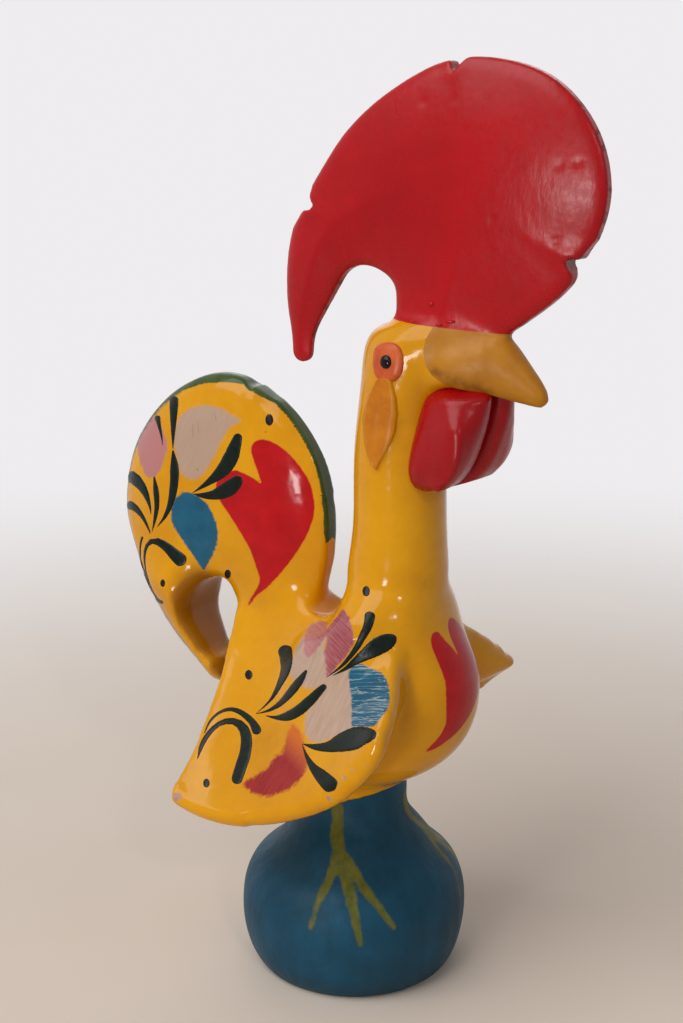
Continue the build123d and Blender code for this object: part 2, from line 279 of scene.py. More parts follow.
bell_tree = BVHTree.FromBMesh(bell)
for x, y, wide, deep in THUMBED:
    spot, way, _ = onto(bell_tree, (x, y))
    for v in bell.verts:
        v.co -= way * deep * MM * math.exp(-(v.co - spot).length_squared / (wide * MM) ** 2)
bell_tree = BVHTree.FromBMesh(bell)
leg_lines = []
for stroke in (LEG, *TOES):
    spots = []
    for x, y, width in stroke:
        spot, _, far = onto(bell_tree, (x, y))
        spots.append((*spot, width * far / SIGHT_LENGTH))
    leg_lines.append(smooth_line(spots))

BLUES = (paint(12, 62, 84), paint(20, 78, 104))
STREAK_BLUE, HANDLED_BLUE, FOOT_DARKER = paint(10, 48, 64), paint(22, 52, 64), paint(38, 46, 44)
LEG_OCHRES = (paint(80, 84, 10), paint(112, 106, 14))
distemper, tree, shader, place = new_finish("blue_distemper")
streaks = mottle(tree, stretched(tree, place, (1, 1, 0.3)), 5 * MM, 0.3, 0.7)
clouds = mottle(tree, place, 30 * MM, 0.35, 0.65)
colour = coat(tree, clouds, *BLUES)
colour = coat(tree, reckon(tree, "MULTIPLY", streaks, 0.35), colour, STREAK_BLUE)
handled = mottle(tree, place, 22 * MM, 0.5, 0.64)
colour = coat(tree, reckon(tree, "MULTIPLY", handled, 0.4), colour, HANDLED_BLUE)
ragged = span(tree, mottle(tree, place, 3 * MM, 0.3, 0.7, 2), 0, 1, -0.3, 0.3)
leg = span(tree, reckon(tree, "ADD", field(tree, "legs"), ragged), -0.4, 0.5, 1, 0)
ochre = coat(tree, mottle(tree, stretched(tree, place, (1, 1, 0.35)), 3 * MM), *LEG_OCHRES)
colour = coat(tree, reckon(tree, "MULTIPLY", leg, 0.9), colour, ochre)
height = knot(tree, "SeparateXYZ", {0: place}).outputs[2]
# The blue turns darker and greyer in patches within the lowest few millimetres, towards the foot.
at_foot = span(tree, height, 0, 9 * MM, 1, 0)
foot_darkening = reckon(tree, "MULTIPLY", at_foot, mottle(tree, place, 7 * MM, 0.4, 0.6))
colour = coat(tree, reckon(tree, "MULTIPLY", foot_darkening, 0.55), colour, FOOT_DARKER)
finished(tree, shader, colour, span(tree, streaks, 0, 1, 0.42, 0.58), DISTEMPER_SHINE)
raise_grain(tree, shader, reckon(tree, "ADD", streaks, mottle(tree, place, 1.2 * MM, 0.2, 0.8)), 0.08 * MM)

base = as_piece("base_bell_clay", bell, distemper, ("base_bell",))
places = points_of(base.data)
turn = math.radians(LEFT_LEG_TURN)
right_leg = np.min([off_line(places, line) for line in leg_lines], axis=0)
swung = np.stack((places[:, 0] * math.cos(turn) + places[:, 1] * math.sin(turn),
                  places[:, 1] * math.cos(turn) - places[:, 0] * math.sin(turn), places[:, 2]), 1)
left_leg = np.min([off_line(swung, line) for line in leg_lines], axis=0)
keep_field(base, "legs", np.clip(np.minimum(right_leg, left_leg) / MM, -LEGS_REACH, LEGS_REACH))


# Clay figure
# Body, neck, tail, wings, beak and comb are separate lumps of clay, luted together with slip and rubbed
# over while wet, so the joints run smoothly. The colours that part them were brushed on after one firing.
FIGURE_NODES = ("body", "neck", "tail", "left_wing", "right_wing", "beak", "comb")
CLAY_GRAIN = 1.0 * MM
WING_LUTED = ((11 * MM, 10), (8 * MM, 16), (5 * MM, 24))
BEAK_LUTED = ((9 * MM, 12), (6 * MM, 14), (4 * MM, 10))
LUTED = ((6 * MM, 6), (4 * MM, 12))
PROUD_RUBBED, SWELL_BACK = 0.12, -0.53
WING_SHOULDER, TAIL_JOINT = 112 * MM, -46 * MM
RIM_FACING, REAR_FACING = 0.35, 0.1
NOTCHES = ((37.3, 298.6), (-13.4, 257.9), (76.2, 245.7), (-35.6, 200))
NOTCH_CLEAR, NOTCH_WIDE = 5.5 * MM, 7 * MM
COMB_MIDDLE, COMB_FOOT = (35 * MM, 264 * MM), (212 * MM, 246 * MM)
COMB_ARCH, COMB_ARCH_CLEAR = (2.4 * MM, 229.5 * MM), (13 * MM, 20 * MM)
COMB_EDGE, COMB_INSIDE, COMB_SWELL, COMB_GROWN = 0.42, 1.12, 36 * MM, 2.2 * MM
HOOK_TOP, HOOK_TIP, HOOK_TAPER = 236 * MM, 209 * MM, 0.5
HOOK_BACK, HOOK_BACK_LEVELS, HOOK_BACK_FROM = 2.2 * MM, (250 * MM, 278 * MM), (-4 * MM, 10 * MM)
TAIL_MIDDLE, TAIL_HOOK = (-52.8 * MM, 163.8 * MM), 135 * MM
TAIL_EDGE, TAIL_INSIDE, TAIL_SWELL, TAIL_GROWN = 0.58, 1.05, 18 * MM, 1.9 * MM
TAIL_FRONT_GROWN, TAIL_GROWN_LEVELS = 1.6 * MM, (126 * MM, 148 * MM)
STOUT, STOUT_LEVELS, STOUT_FROM = 0.65, (124 * MM, 142 * MM), (-56 * MM, -49 * MM)
TAIL_ROOT_FROM, TAIL_ROOT_TOP, TAIL_ROOT_RUBS = -30 * MM, 164 * MM, 10
WING_FORWARD, LEFT_WING_FORWARD, WING_FRONT_FACING = 3.4 * MM, 5 * MM, (0.1, 0.7)
WING_FRONT_FOOT, WING_FRONT_TOP = (62 * MM, 78 * MM), (108 * MM, 125 * MM)
LEFT_WING_LIFT, LEFT_WING_LEVELS = 9 * MM, (82 * MM, 108 * MM)
LEFT_WING_FRONT, LEFT_WING_OUT = (-10 * MM, 24 * MM), (30 * MM, 42 * MM)
WING_ROLL, WING_ROLL_FROM, WING_ROLL_OUT, WING_ROLL_TOP = 28, -12 * MM, 20 * MM, 135 * MM
WING_RUBS, FIGURE_RUBS, NICK_RUBS = 8, 5, 1
BEAK_UNDER = ((25, 31.5, 41.7, 50.3, 56.5, 65.9), (206.6, 206.2, 205.4, 204.2, 202.6, 201))
BEAK_FLAT, BEAK_FLAT_FROM = 0.85, (30 * MM, 38 * MM)
BEAK_CHEEKS, BEAK_CHEEKS_TO = 0.45, (34 * MM, 54 * MM)
CHEEK, CHEEK_WIDE, CHEEK_RUBS = (443, 352), 12 * MM, 40
VALLEY, VALLEY_WIDE, VALLEY_DEEP = -8 * MM, 9 * MM, 7 * MM
VALLEY_FOOT, VALLEY_TOP = (118 * MM, 134 * MM), (142 * MM, 156 * MM)
SHOULDER_MIDDLE, SHOULDER_SLOPE, SHOULDER_FRONT = 10 * MM, 0.1, (12 * MM, 28 * MM)
SHOULDER_FOOT, SHOULDER_TOP = (108 * MM, 127 * MM), (134 * MM, 146 * MM)
SHOULDER_RUBS, SHOULDER_RUBBED = 30, (126 * MM, 154 * MM)
CLAY_LUMPS, CLAY_LUMP_SIZE = 0.25 * MM, 20 * MM
HEM_TOP, HEM_TALL, HEM_FALL = 76 * MM, 10 * MM, 2.6 * MM
HEM_BEARING, HEM_REACH = -118, 50
DENTS = ((400.4, 429.4, 2.6, 0.5), (555.8, 240.9, 0.9, 0.4), (577.6, 162.8, 0.9, 0.4),
         (559.3, 165.1, 0.8, 0.35), (491.6, 219.1, 0.8, 0.3), (454.8, 100.2, 0.7, 0.25),
         (423.8, 102, 0.8, 0.3))
RED_EDGE_REAR, RED_EDGE_FRONT = (17.3 * MM, 224.8 * MM), (57.1 * MM, 222.4 * MM)
HOOK_FRONT, HOOK_LOW, HOOK_RED = 1 * MM, 204 * MM, -5 * MM
OCHRE_EDGE = ((33.5, 240), (32.5, 224), (31, 220.2), (30.6, 216.1), (31.4, 212.1), (33.5, 209.1),
              (37.6, 206.4), (45, 203.4), (52, 199), (60, 190), (110, 190), (110, 240))


def edge_distance(spots, loop):
    """How far flat points are from a closed edge, below zero inside it."""
    best = np.full(len(spots), 1e3)
    inside = np.zeros(len(spots), bool)
    for a, b in zip(loop, np.roll(loop, -1, 0)):
        run = b - a
        rel = spots - a
        t = np.clip(rel @ run / max(run @ run, 1e-9), 0, 1)
        best = np.minimum(best, np.hypot(*(rel - t[:, None] * run).T))
        passes = (a[1] > spots[:, 1]) != (b[1] > spots[:, 1])
        inside ^= passes & (spots[:, 0] < a[0] + rel[:, 1] * run[0] / (run[1] if run[1] else 1e-9))
    return np.where(inside, -best, best)


def swell_slab(verts, rim, middle, reach, thick, grown):
    """A slab pillowed between its edges: thinner at the rim, which spreads outwards as it is pressed."""
    rim_tree = KDTree(len(rim))
    for i, v in enumerate(rim):
        rim_tree.insert((v.co.x, 0, v.co.z), i)
    rim_tree.balance()
    for v in verts:
        rest = 1 - min(1, rim_tree.find((v.co.x, 0, v.co.z))[2] / reach)
        at_edge, inside = thick(v)
        v.co.y *= at_edge + (inside - at_edge) * (1 - rest * rest)
        out = Vector((v.co.x - middle[0], 0, v.co.z - middle[1])).normalized()
        v.co.x += out.x * grown(v, out) * rest ** 8


def fall(value, low, high):
    """What a ramp leaves: whole below the lower limit, nothing above the upper one."""
    return 1 - ramp(value, low, high)


def notch_gap(v):
    """How far a point is, seen from the side, from the nearest nick in the comb's and tail's edges."""
    return min(math.hypot(v.co.x - x * MM, v.co.z - z * MM) for x, z in NOTCHES)


def comb_thick(v):
    """The comb's thickness as shares of its slab, at the rim and inside."""
    return COMB_EDGE, COMB_INSIDE


def comb_grown(v, out):
    """How far the comb's rim spreads: not at its foot, nor in the arch behind it or at the hook's tip."""
    arch = math.hypot(v.co.x - COMB_ARCH[0], v.co.z - COMB_ARCH[1])
    return COMB_GROWN * ramp(v.co.z, *COMB_FOOT) * ramp(arch, *COMB_ARCH_CLEAR)


def tail_thick(v):
    """The tail's thickness as shares of its slab: stout in the hook."""
    in_hook = fall(v.co.z, *STOUT_LEVELS) * fall(v.co.x, *STOUT_FROM)
    return TAIL_EDGE, TAIL_INSIDE + STOUT * in_hook


def tail_grown(v, out):
    """How far the tail's rim spreads: not on the hook, and most in front."""
    return (TAIL_GROWN + TAIL_FRONT_GROWN * max(0, out.x)) * ramp(v.co.z, *TAIL_GROWN_LEVELS)


def filled(bm, verts, passes):
    """Slip rubbed into a joint: hollows fill, and what stands proud stays nearly as it is."""
    for turn in range(passes):
        if turn % 4 == 0:
            bm.normal_update()
        stood = [v.co.copy() for v in verts]
        rubbed(bm, verts, 1)
        for v, before in zip(verts, stood):
            if (v.co - before).dot(v.normal) < 0:
                v.co = before.lerp(v.co, PROUD_RUBBED)


def eased(bm, verts, passes):
    """Corners rounded while the whole shape keeps its size: each rub is followed by a slight swell."""
    for _ in range(passes):
        rubbed(bm, verts, 1)
        rubbed(bm, verts, 1, SWELL_BACK)


def parted(bm, values):
    """Two closed skins from one, parted along the line where a value changes sign."""
    reading = dict(zip(bm.verts, values))
    met = []
    for e in [e for e in bm.edges if (reading[e.verts[0]] < 0) != (reading[e.verts[1]] < 0)]:
        start, end = e.verts
        _, spot = bmesh.utils.edge_split(e, start, reading[start] / (reading[start] - reading[end]))
        reading[spot] = 0.0
        met.append(spot)
    bmesh.ops.connect_verts(bm, verts=met)
    below = [sum(reading[v] for v in f.verts) < 0 for f in bm.faces]
    skins = []
    for kept in (True, False):
        skin = bm.copy()
        gone = [f for f, under in zip(skin.faces, below) if under != kept]
        bmesh.ops.delete(skin, geom=gone, context="FACES")
        rim = [e for e in skin.edges if e.is_boundary]
        lids = bmesh.ops.holes_fill(skin, edges=rim, sides=0)["faces"]
        bmesh.ops.poke(skin, faces=lids)
        for e in rim:
            e.smooth = False
        skins.append(skin)
    bm.free()
    return skins


figure = clay_skin("figure", FIGURE_NODES, CLAY_GRAIN)
figure.normal_update()
lumps = []
for node in FIGURE_NODES:
    lump = bmesh.new()
    lump.from_mesh(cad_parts[node].data)
    lumps.append(BVHTree.FromBMesh(lump))
    lump.free()
joints, lump_of = [], {node: [] for node in FIGURE_NODES}
for v in figure.verts:
    near = sorted((tree.find_nearest(v.co)[3], node) for tree, node in zip(lumps, FIGURE_NODES))
    pair = near[0][1] + near[1][1]
    rounds = LUTED
    if "beak" in pair and "comb" not in pair:
        rounds = BEAK_LUTED
    elif "wing" in pair and v.co.z > WING_SHOULDER:
        rounds = WING_LUTED
    joints.append((v, near[1][0], rounds))
    lump_of[near[0][1]].append(v)
wings = lump_of["left_wing"] + lump_of["right_wing"]

# The two slabs are pillowed, and the comb's hook tapers and leans back.
edges = {v for v in figure.verts if abs(v.normal.y) < RIM_FACING and notch_gap(v) > NOTCH_WIDE}
comb_rim = [v for v in lump_of["comb"] if v in edges]
tail_rim = [v for v in lump_of["tail"]
            if v in edges and (v.normal.x < REAR_FACING or v.co.z > TAIL_HOOK)]
swell_slab(lump_of["comb"], comb_rim, COMB_MIDDLE, COMB_SWELL, comb_thick, comb_grown)
swell_slab(lump_of["tail"], tail_rim, TAIL_MIDDLE, TAIL_SWELL, tail_thick, tail_grown)
for v in lump_of["comb"]:
    if v.co.x < HOOK_FRONT:
        v.co.y *= 1 + (HOOK_TAPER - 1) * fall(v.co.z, HOOK_TIP, HOOK_TOP)
    v.co.x -= HOOK_BACK * fall(v.co.z, *HOOK_BACK_LEVELS) * fall(v.co.x, *HOOK_BACK_FROM)

# The wings' front edges are drawn forward, and the left one is set higher.
for v in wings:
    forward = LEFT_WING_FORWARD if v.co.y > 0 else WING_FORWARD
    front = ramp(v.normal.x, *WING_FRONT_FACING)
    v.co.x += forward * front * ramp(v.co.z, *WING_FRONT_FOOT) * fall(v.co.z, *WING_FRONT_TOP)
for v in figure.verts:
    lift = fall(v.co.z, *LEFT_WING_LEVELS) * ramp(v.co.x, *LEFT_WING_FRONT)
    v.co.z += LEFT_WING_LIFT * lift * ramp(v.co.y, *LEFT_WING_OUT)

# The beak is full at its cheeks and flat below.
for v in lump_of["beak"]:
    v.co.y *= 1 + BEAK_CHEEKS * fall(v.co.x, *BEAK_CHEEKS_TO)
    under = np.interp(v.co.x / MM, *BEAK_UNDER) * MM - v.co.z
    v.co.z += BEAK_FLAT * max(0, under) * ramp(v.co.x, *BEAK_FLAT_FROM)

# Slip fills the joints, and the whole figure is rubbed over.
for rounds in (WING_LUTED, BEAK_LUTED, LUTED):
    for reach, passes in rounds:
        seam = [v for v, gap, way in joints if gap < reach and way == rounds and v.co.x > TAIL_JOINT]
        filled(figure, seam, passes)
wing_fronts = [v for v in figure.verts
               if v.co.x > WING_ROLL_FROM and abs(v.co.y) > WING_ROLL_OUT and v.co.z < WING_ROLL_TOP]
rubbed(figure, wing_fronts, WING_ROLL)
for v in figure.verts:
    trough = math.exp(-((v.co.x - VALLEY) / VALLEY_WIDE) ** 2) * fall(v.co.z, *VALLEY_TOP)
    v.co.z -= VALLEY_DEEP * trough * ramp(v.co.z, *VALLEY_FOOT)
    sloped = SHOULDER_SLOPE * ramp(v.co.x, *SHOULDER_FRONT)
    sloped *= ramp(v.co.z, *SHOULDER_FOOT) * fall(v.co.z, *SHOULDER_TOP)
    v.co.x += (SHOULDER_MIDDLE - v.co.x) * sloped
    v.co.y -= v.co.y * sloped
shoulder = [v for v in figure.verts
            if v.co.x > SHOULDER_FRONT[0] and SHOULDER_RUBBED[0] < v.co.z < SHOULDER_RUBBED[1]]
tail_root = [v for v in lump_of["tail"] if v.co.x > TAIL_ROOT_FROM and v.co.z < TAIL_ROOT_TOP]
rubbed(figure, shoulder, SHOULDER_RUBS)
rubbed(figure, tail_root, TAIL_ROOT_RUBS)
eased(figure, wings, WING_RUBS)
eased(figure, [v for v in figure.verts if notch_gap(v) > NOTCH_CLEAR], FIGURE_RUBS)
eased(figure, [v for v in figure.verts if notch_gap(v) < NOTCH_CLEAR], NICK_RUBS)
figure_tree = BVHTree.FromBMesh(figure)
for side in SIDES:
    spot = onto(figure_tree, CHEEK, side)[0]
    rubbed(figure, [v for v in figure.verts if (v.co - spot).length < CHEEK_WIDE], CHEEK_RUBS)

# Hand-made clay is lumpy and a little dented, and the hem hangs lower on one side.
figure.normal_update()
for v in figure.verts:
    v.co += v.normal * CLAY_LUMPS * noise.noise(v.co / CLAY_LUMP_SIZE)
for v in lump_of["body"]:
    low = min(max((HEM_TOP - v.co.z) / HEM_TALL, 0), 1)
    turn = (math.degrees(math.atan2(v.co.y, v.co.x)) - HEM_BEARING + 180) % 360 - 180
    v.co.z -= HEM_FALL * low * max(0, math.cos(math.pi / 2 * min(1, abs(turn) / HEM_REACH)))
figure_tree = BVHTree.FromBMesh(figure)
for x, y, wide, deep in DENTS:
    spot, way, _ = onto(figure_tree, (x, y))
    for v in figure.verts:
        gap = (v.co - spot).length_squared
        if gap < (3 * wide * MM) ** 2:
            v.co -= way * deep * MM * math.exp(-gap / (wide * MM) ** 2)
figure.normal_update()
figure_tree = BVHTree.FromBMesh(figure)

# The skin is parted where red meets yellow and where ochre meets yellow.
flanks = np.array([v.co for v in figure.verts])
slope = (RED_EDGE_FRONT[1] - RED_EDGE_REAR[1]) / (RED_EDGE_FRONT[0] - RED_EDGE_REAR[0])
above = RED_EDGE_REAR[1] + slope * (flanks[:, 0] - RED_EDGE_REAR[0]) - flanks[:, 2]
above[(flanks[:, 0] < HOOK_FRONT) & (flanks[:, 2] > HOOK_LOW)] = HOOK_RED
comb, trunk = parted(figure, above)
flanks = np.array([v.co for v in trunk.verts])
beak, clay = parted(trunk, edge_distance(flanks[:, [0, 2]] / MM, np.array(OCHRE_EDGE)))


# Yellow clay
# The yellow part of the figure has one brushed coat of glossy enamel, with flowers, hearts and a green rim
# laid over it in thinner, drier paint. Both sides carry the same flowers, smaller on the left wing.
CLAY_NODES = FIGURE_NODES[:5]
WHITE_PETALS = (
    ((303.9, 636.3), (296.8, 646.3), (292.7, 659.5), (291, 676.1), (302.6, 686.1), (312.6, 688.6),
     (325.8, 684.4), (322.5, 692.7), (315, 702.7), (308.4, 710.9), (304.3, 724.2), (307.6, 737.5),
     (317.5, 741.6), (334.1, 737.5), (354, 729), (356, 702.7), (354, 686.1), (352, 669.5), (339.1, 671.1),
     (329.1, 662.9), (324.2, 649.6), (325.8, 636.3), (315.9, 628)),
    ((181.5, 415), (192.4, 407.5), (205.4, 405.3), (218.4, 407.5), (231.4, 415), (241.8, 421.5),
     (231.4, 425.9), (224.9, 434.6), (218.4, 447.6), (211.9, 460.6), (203.2, 473.6), (193.5, 479.4),
     (183.7, 475.7), (178.3, 464.9), (175, 449.7), (175, 432.4)))
PINK_PETALS = (
    ((343.2, 609), (349, 618.1), (352.3, 631.4), (353.2, 644.6), (347.4, 654.6), (339.1, 664.5),
     (327.5, 676.1), (325.8, 662.9), (324.2, 651.2), (327.5, 639.6), (323.3, 634.7), (330.8, 623.1),
     (337.4, 616.4)),
    ((323.3, 620.6), (327.5, 624.7), (325.8, 636.3), (319.2, 646.3), (309.2, 657.1), (304.3, 652.9),
     (304.6, 641.3), (305.9, 631.4), (312.6, 623.9)),
    ((152.3, 417.2), (142.5, 428), (137.1, 443.2), (139.3, 458.4), (144.7, 473.6), (150.1, 477.9),
     (157.7, 473.6), (163.1, 462.7), (166.8, 447.6), (164.2, 434.6), (158.8, 419.4)))
BLUE_PETALS = (
    ((349.9, 669.5), (359, 664.5), (368.9, 667.8), (380.5, 672.8), (387.2, 681.1), (389.7, 692.7),
     (388, 707.6), (380.5, 717.6), (373.9, 725.9), (352.3, 725.9), (352.3, 710.9), (350.7, 694.4),
     (349, 682.8)),
    ((183.7, 492), (175, 499.6), (171.4, 510.4), (171.8, 521.3), (177.2, 532.1), (185.9, 545.1),
     (196.7, 560.3), (203.2, 569.4), (207.6, 563.6), (214.1, 551.6), (217.8, 538.6), (216.2, 523.4),
     (209.7, 508.3), (201.1, 498.5), (192.4, 493.5)))
ROSE_PETALS = (
    ((291, 725), (297.6, 727.5), (302.6, 737.5), (305.9, 752.4), (309.2, 757.4), (305.9, 770.6),
     (296, 783.9), (282.7, 792.2), (266.1, 796.3), (252.9, 792.2), (242.9, 783.9), (252.9, 777.3),
     (266.1, 769), (274.4, 757.4), (282.7, 750.7)),)
TAIL_HEARTS = (
    ((261.1, 483.3), (257.4, 471.4), (253.1, 458.4), (250.9, 449.7), (254.2, 442.1), (261.8, 439.3),
     (272.6, 442.1), (285.6, 450.8), (298.6, 464.9), (309.5, 482.2), (314.2, 501.8), (313.4, 516.9),
     (307.3, 534.3), (298.6, 549.5), (287.8, 564.6), (274.8, 579.8), (266.1, 588.5), (257.4, 595),
     (248.8, 605.8), (248.3, 602.6), (254.2, 592.8), (258.5, 585.2), (259.6, 577.6), (257.4, 571.1),
     (250.9, 551.6), (240.1, 532.1), (229.2, 514.8), (220.6, 501.8), (216.2, 490.9), (216.7, 482.2),
     (222.7, 474.7), (234.7, 470.3), (244.4, 473.6), (253.1, 477.9)),)
RIM_INSIDE = ((126, 460), (131, 447), (142, 427), (154, 413), (167.5, 401), (181.5, 391), (203, 383.5),
              (227, 382), (244.5, 384.5), (259.5, 390), (271.5, 396.5), (283.5, 408.5), (296.5, 423.5),
              (309.5, 443), (317, 460.5), (321.5, 484.5), (323.5, 510.5), (327, 525.5), (333, 539))
RIM_OUTSIDE = ((350, 539), (350, 470), (310, 395), (255, 355), (200, 350), (150, 380), (112, 440),
               (112, 466))
RIM_MIDDLE = (232, 500)
RIM_FROM, RIM_TO, RIM_CLEAR, RIM_FRONT = -212, 18, 70, 120
RIM_FLAT, RIM_SOFT = 0.7, 5
BACK_FLAT, BACK_SOFT = 0.78, 4
BACK_FACING, BACK_LOW, BACK_FROM = -0.25, 92 * MM, -50 * MM
BREAST_HEART = ((-8.1, 123.4), (-10.5, 125.9), (-14, 126.3), (-16.5, 124.9), (-17, 122.4), (-16, 117.1),
                (-15.2, 111.8), (-15.5, 107), (-15.6, 102.6), (-15.4, 97.6), (-17.4, 93.9), (-20.8, 91),
                (-23.8, 88.6), (-18.6, 88.7), (-12.3, 90.5), (-6.1, 92.7), (-1, 95.4), (5, 99),
                (11, 103.5), (16.2, 109), (18, 114.5), (16.5, 120), (12, 124.2), (7, 127.2), (2.5, 128.6),
                (-0.7, 127.6), (-2.7, 125.4), (-3.1, 122.6), (-3.1, 118), (-5.1, 120.6))
BREAST_RADIUS, BREAST_REACH, BREAST_LOW, BREAST_HIGH = 40, 45, 84 * MM, 132 * MM
HOOK_SHADE_FACING, HOOK_SHADE_SOFT, HOOK_SHADE_FROM, HOOK_SHADE_TOP = 0.15, 0.5, -40 * MM, 138 * MM
VALLEY_SHADE, VALLEY_FACING, VALLEY_SOFT = 0.2, 0.3, 0.6
VALLEY_LEVEL, VALLEY_HALF, VALLEY_REAR, VALLEY_FRONT = 138 * MM, 18 * MM, -40 * MM, -4 * MM
ROSE_SLANT, ROSE_START, ROSE_RUN = 0.9, -398, 30
ENAMEL_SHINE = 0.25
# Ochre smudges: on the wing a real smear of paint; beside the ear lobe and along the wing's front edge and
# the breast beside it, painted shade.
OCHRE_SMUDGES_AND_SHADE = (
    ((254, 728), (274, 724), (292, 727), (300, 745), (288, 764), (266, 774), (252, 768), (250, 748)),
    ((401, 412), (407, 420), (405, 436), (399, 452), (396, 440), (398, 424)),
    ((404, 640), (412, 650), (416, 680), (410, 715), (402, 730), (399, 700), (401, 665)),
    ((418, 578), (428, 580), (430, 586), (420, 588)))
# Pale spots: the wing tip's chip is bare clay; the small spots along the wing's front-lower edge are partly
# chips, partly painted glints.
CHIPS_AND_GLINTS = ((177.5, 797, 9), (344, 777, 5), (366, 763, 4), (329, 798, 5), (352, 770, 3), (338, 783, 3))
LEFT_WING_MIDDLE, LEFT_WING_SIZE, LEFT_WING_SHIFT = (290, 706), 0.86, (-8, -6)
WING_MOTIFS_BELOW, BRISTLES_RUN = 600, 10
FAR, NEAR_SHAPE, SIGHT_SLACK = 9.0, 25, 1.5 * MM
YELLOWS, FINE_OCHRE = (paint(216, 146, 6), paint(228, 160, 10)), paint(190, 120, 6)
SHADE_BROWN, SMUDGE_AND_SHADE_OCHRE, SPECK_BROWN = paint(136, 80, 12), paint(190, 124, 14), paint(84, 52, 14)
WHITES = (paint(184, 152, 130), paint(198, 172, 152))
PINKS, THIN_PINK = (paint(140, 44, 60), paint(186, 114, 118)), paint(206, 150, 142)
PETAL_BLUES, HAIR_WHITE = (paint(20, 82, 108), paint(30, 96, 124)), paint(168, 184, 184)
ROSES, ROSE_ORANGE = (paint(146, 30, 34), paint(166, 48, 42)), paint(206, 104, 34)
HEART_REDS = (paint(176, 8, 16), paint(194, 16, 22))
RIM_GREENS = (paint(54, 74, 32), paint(76, 94, 42))
BARE_CLAYS = (paint(168, 122, 104), paint(196, 158, 140))

enamel, tree, shader, place = new_finish("yellow_enamel")
brush = knot(tree, "Attribute", attribute_name="brush").outputs["Vector"]
clouds = mottle(tree, place, 28 * MM)
fine = mottle(tree, place, 3 * MM, 0.3, 0.7)
colour = coat(tree, clouds, *YELLOWS)
colour = coat(tree, reckon(tree, "MULTIPLY", fine, 0.12), colour, FINE_OCHRE)
ragged = span(tree, mottle(tree, place, 1.6 * MM, 0.25, 0.75, 3), 0, 1, -0.35, 0.35)


def painted(name, soft=0.25, rag=1.0):
    """How much of a colour lies on the clay, with the ragged edge that a brush leaves."""
    edge = reckon(tree, "ADD", field(tree, name), reckon(tree, "MULTIPLY", ragged, rag))
    return span(tree, edge, -soft, soft, 1, 0)


def streaked(turn, wide, low=0.35, high=0.65):
    """Bristle streaks across the picture, drawn out along one bearing."""
    laid = knot(tree, "Mapping", {"Vector": brush, "Rotation": (0, 0, math.radians(turn)),
                                  "Scale": (wide, 12 * wide, 1)}, vector_type="TEXTURE").outputs[0]
    return mottle(tree, laid, 1.0, low, high)


# Painted shade: a brown tint on the faces inside the tail's hook and in the valley at the tail's root that
# turn forward, away from the light.
colour = coat(tree, reckon(tree, "MULTIPLY", field(tree, "painted_shade"), 0.8), colour, SHADE_BROWN)
# Ochre smudges, partly real smears on the wing and partly painted shade beside the ear lobe and along the
# wing's front edge.
smudge_and_shade = reckon(tree, "MULTIPLY", painted("smudge_and_shade", 2.0, 3.0), mottle(tree, place, 5 * MM, 0.2, 0.8))
colour = coat(tree, reckon(tree, "MULTIPLY", smudge_and_shade, 0.6), colour, SMUDGE_AND_SHADE_OCHRE)
streak = reckon(tree, "MULTIPLY", streaked(25, 2.5), span(tree, field(tree, "bristles"), 0, 1, 0.25, 0.7))
white = coat(tree, streak, *WHITES)
colour = coat(tree, painted("white", 0.5, 1.5), colour, white)
streak = span(tree, field(tree, "bristles"), 0, 1, 0.5, streaked(-42, 1.6, 0.25, 0.75))
pink = coat(tree, streak, *PINKS)
thin = span(tree, knot(tree, "SeparateXYZ", {0: brush}).outputs[0], 334, 308, 0, 0.5)
pink = coat(tree, thin, pink, THIN_PINK)
colour = coat(tree, painted("pink", 0.4, 1.2), colour, pink)
wave_place = stretched(tree, brush, (0.022, 0.24, 1), (0, 0, math.radians(-6)))
waves = knot(tree, "TexNoise", {"Vector": wave_place, "Scale": 1.0, "Detail": 3.0, "Roughness": 0.55,
                                "Distortion": 0.7}).outputs[0]
hairs = span(tree, reckon(tree, "ABSOLUTE", reckon(tree, "SUBTRACT", waves, 0.5)), 0.008, 0.03, 1, 0)
bristled = reckon(tree, "MULTIPLY", hairs, field(tree, "bristles"))
blue = coat(tree, mottle(tree, place, 7 * MM), *PETAL_BLUES)
blue = coat(tree, reckon(tree, "MULTIPLY", bristled, 0.75), blue, HAIR_WHITE)
colour = coat(tree, painted("blue", 0.3, 1.2), colour, blue)
rose = coat(tree, streaked(35, 3), *ROSES)
rose = coat(tree, field(tree, "rose_fade"), rose, ROSE_ORANGE)
colour = coat(tree, painted("rose", 0.6, 2.0), colour, rose)
red = coat(tree, mottle(tree, place, 9 * MM), *HEART_REDS)
colour = coat(tree, painted("red", 0.2, 0.4), colour, red)
green = coat(tree, mottle(tree, place, 6 * MM), *RIM_GREENS)
colour = coat(tree, painted("green", 0.2, 0.5), colour, green)
specks = knot(tree, "TexVoronoi", {"Vector": place, "Scale": 1 / (7 * MM)}).outputs["Distance"]
specks = span(tree, specks, 0.035, 0.06, 1, 0)
specks = reckon(tree, "MULTIPLY", specks, mottle(tree, place, 24 * MM, 0.5, 0.58))
colour = coat(tree, reckon(tree, "MULTIPLY", specks, 0.7), colour, SPECK_BROWN)
# Pale bare clay: a real chip at the wing tip, and small spots on the wing's front edge that also stand in
# for glints.
bare = painted("chips_and_glints", 0.2, 2.0)
colour = coat(tree, bare, colour, coat(tree, fine, *BARE_CLAYS))
rough = reckon(tree, "ADD", span(tree, fine, 0, 1, 0.08, 0.15), reckon(tree, "MULTIPLY", bare, 0.5))
finished(tree, shader, colour, rough, ENAMEL_SHINE)
raise_grain(tree, shader, mottle(tree, place, 7 * MM, 0.2, 0.8, 2), 0.12 * MM, 0.6)


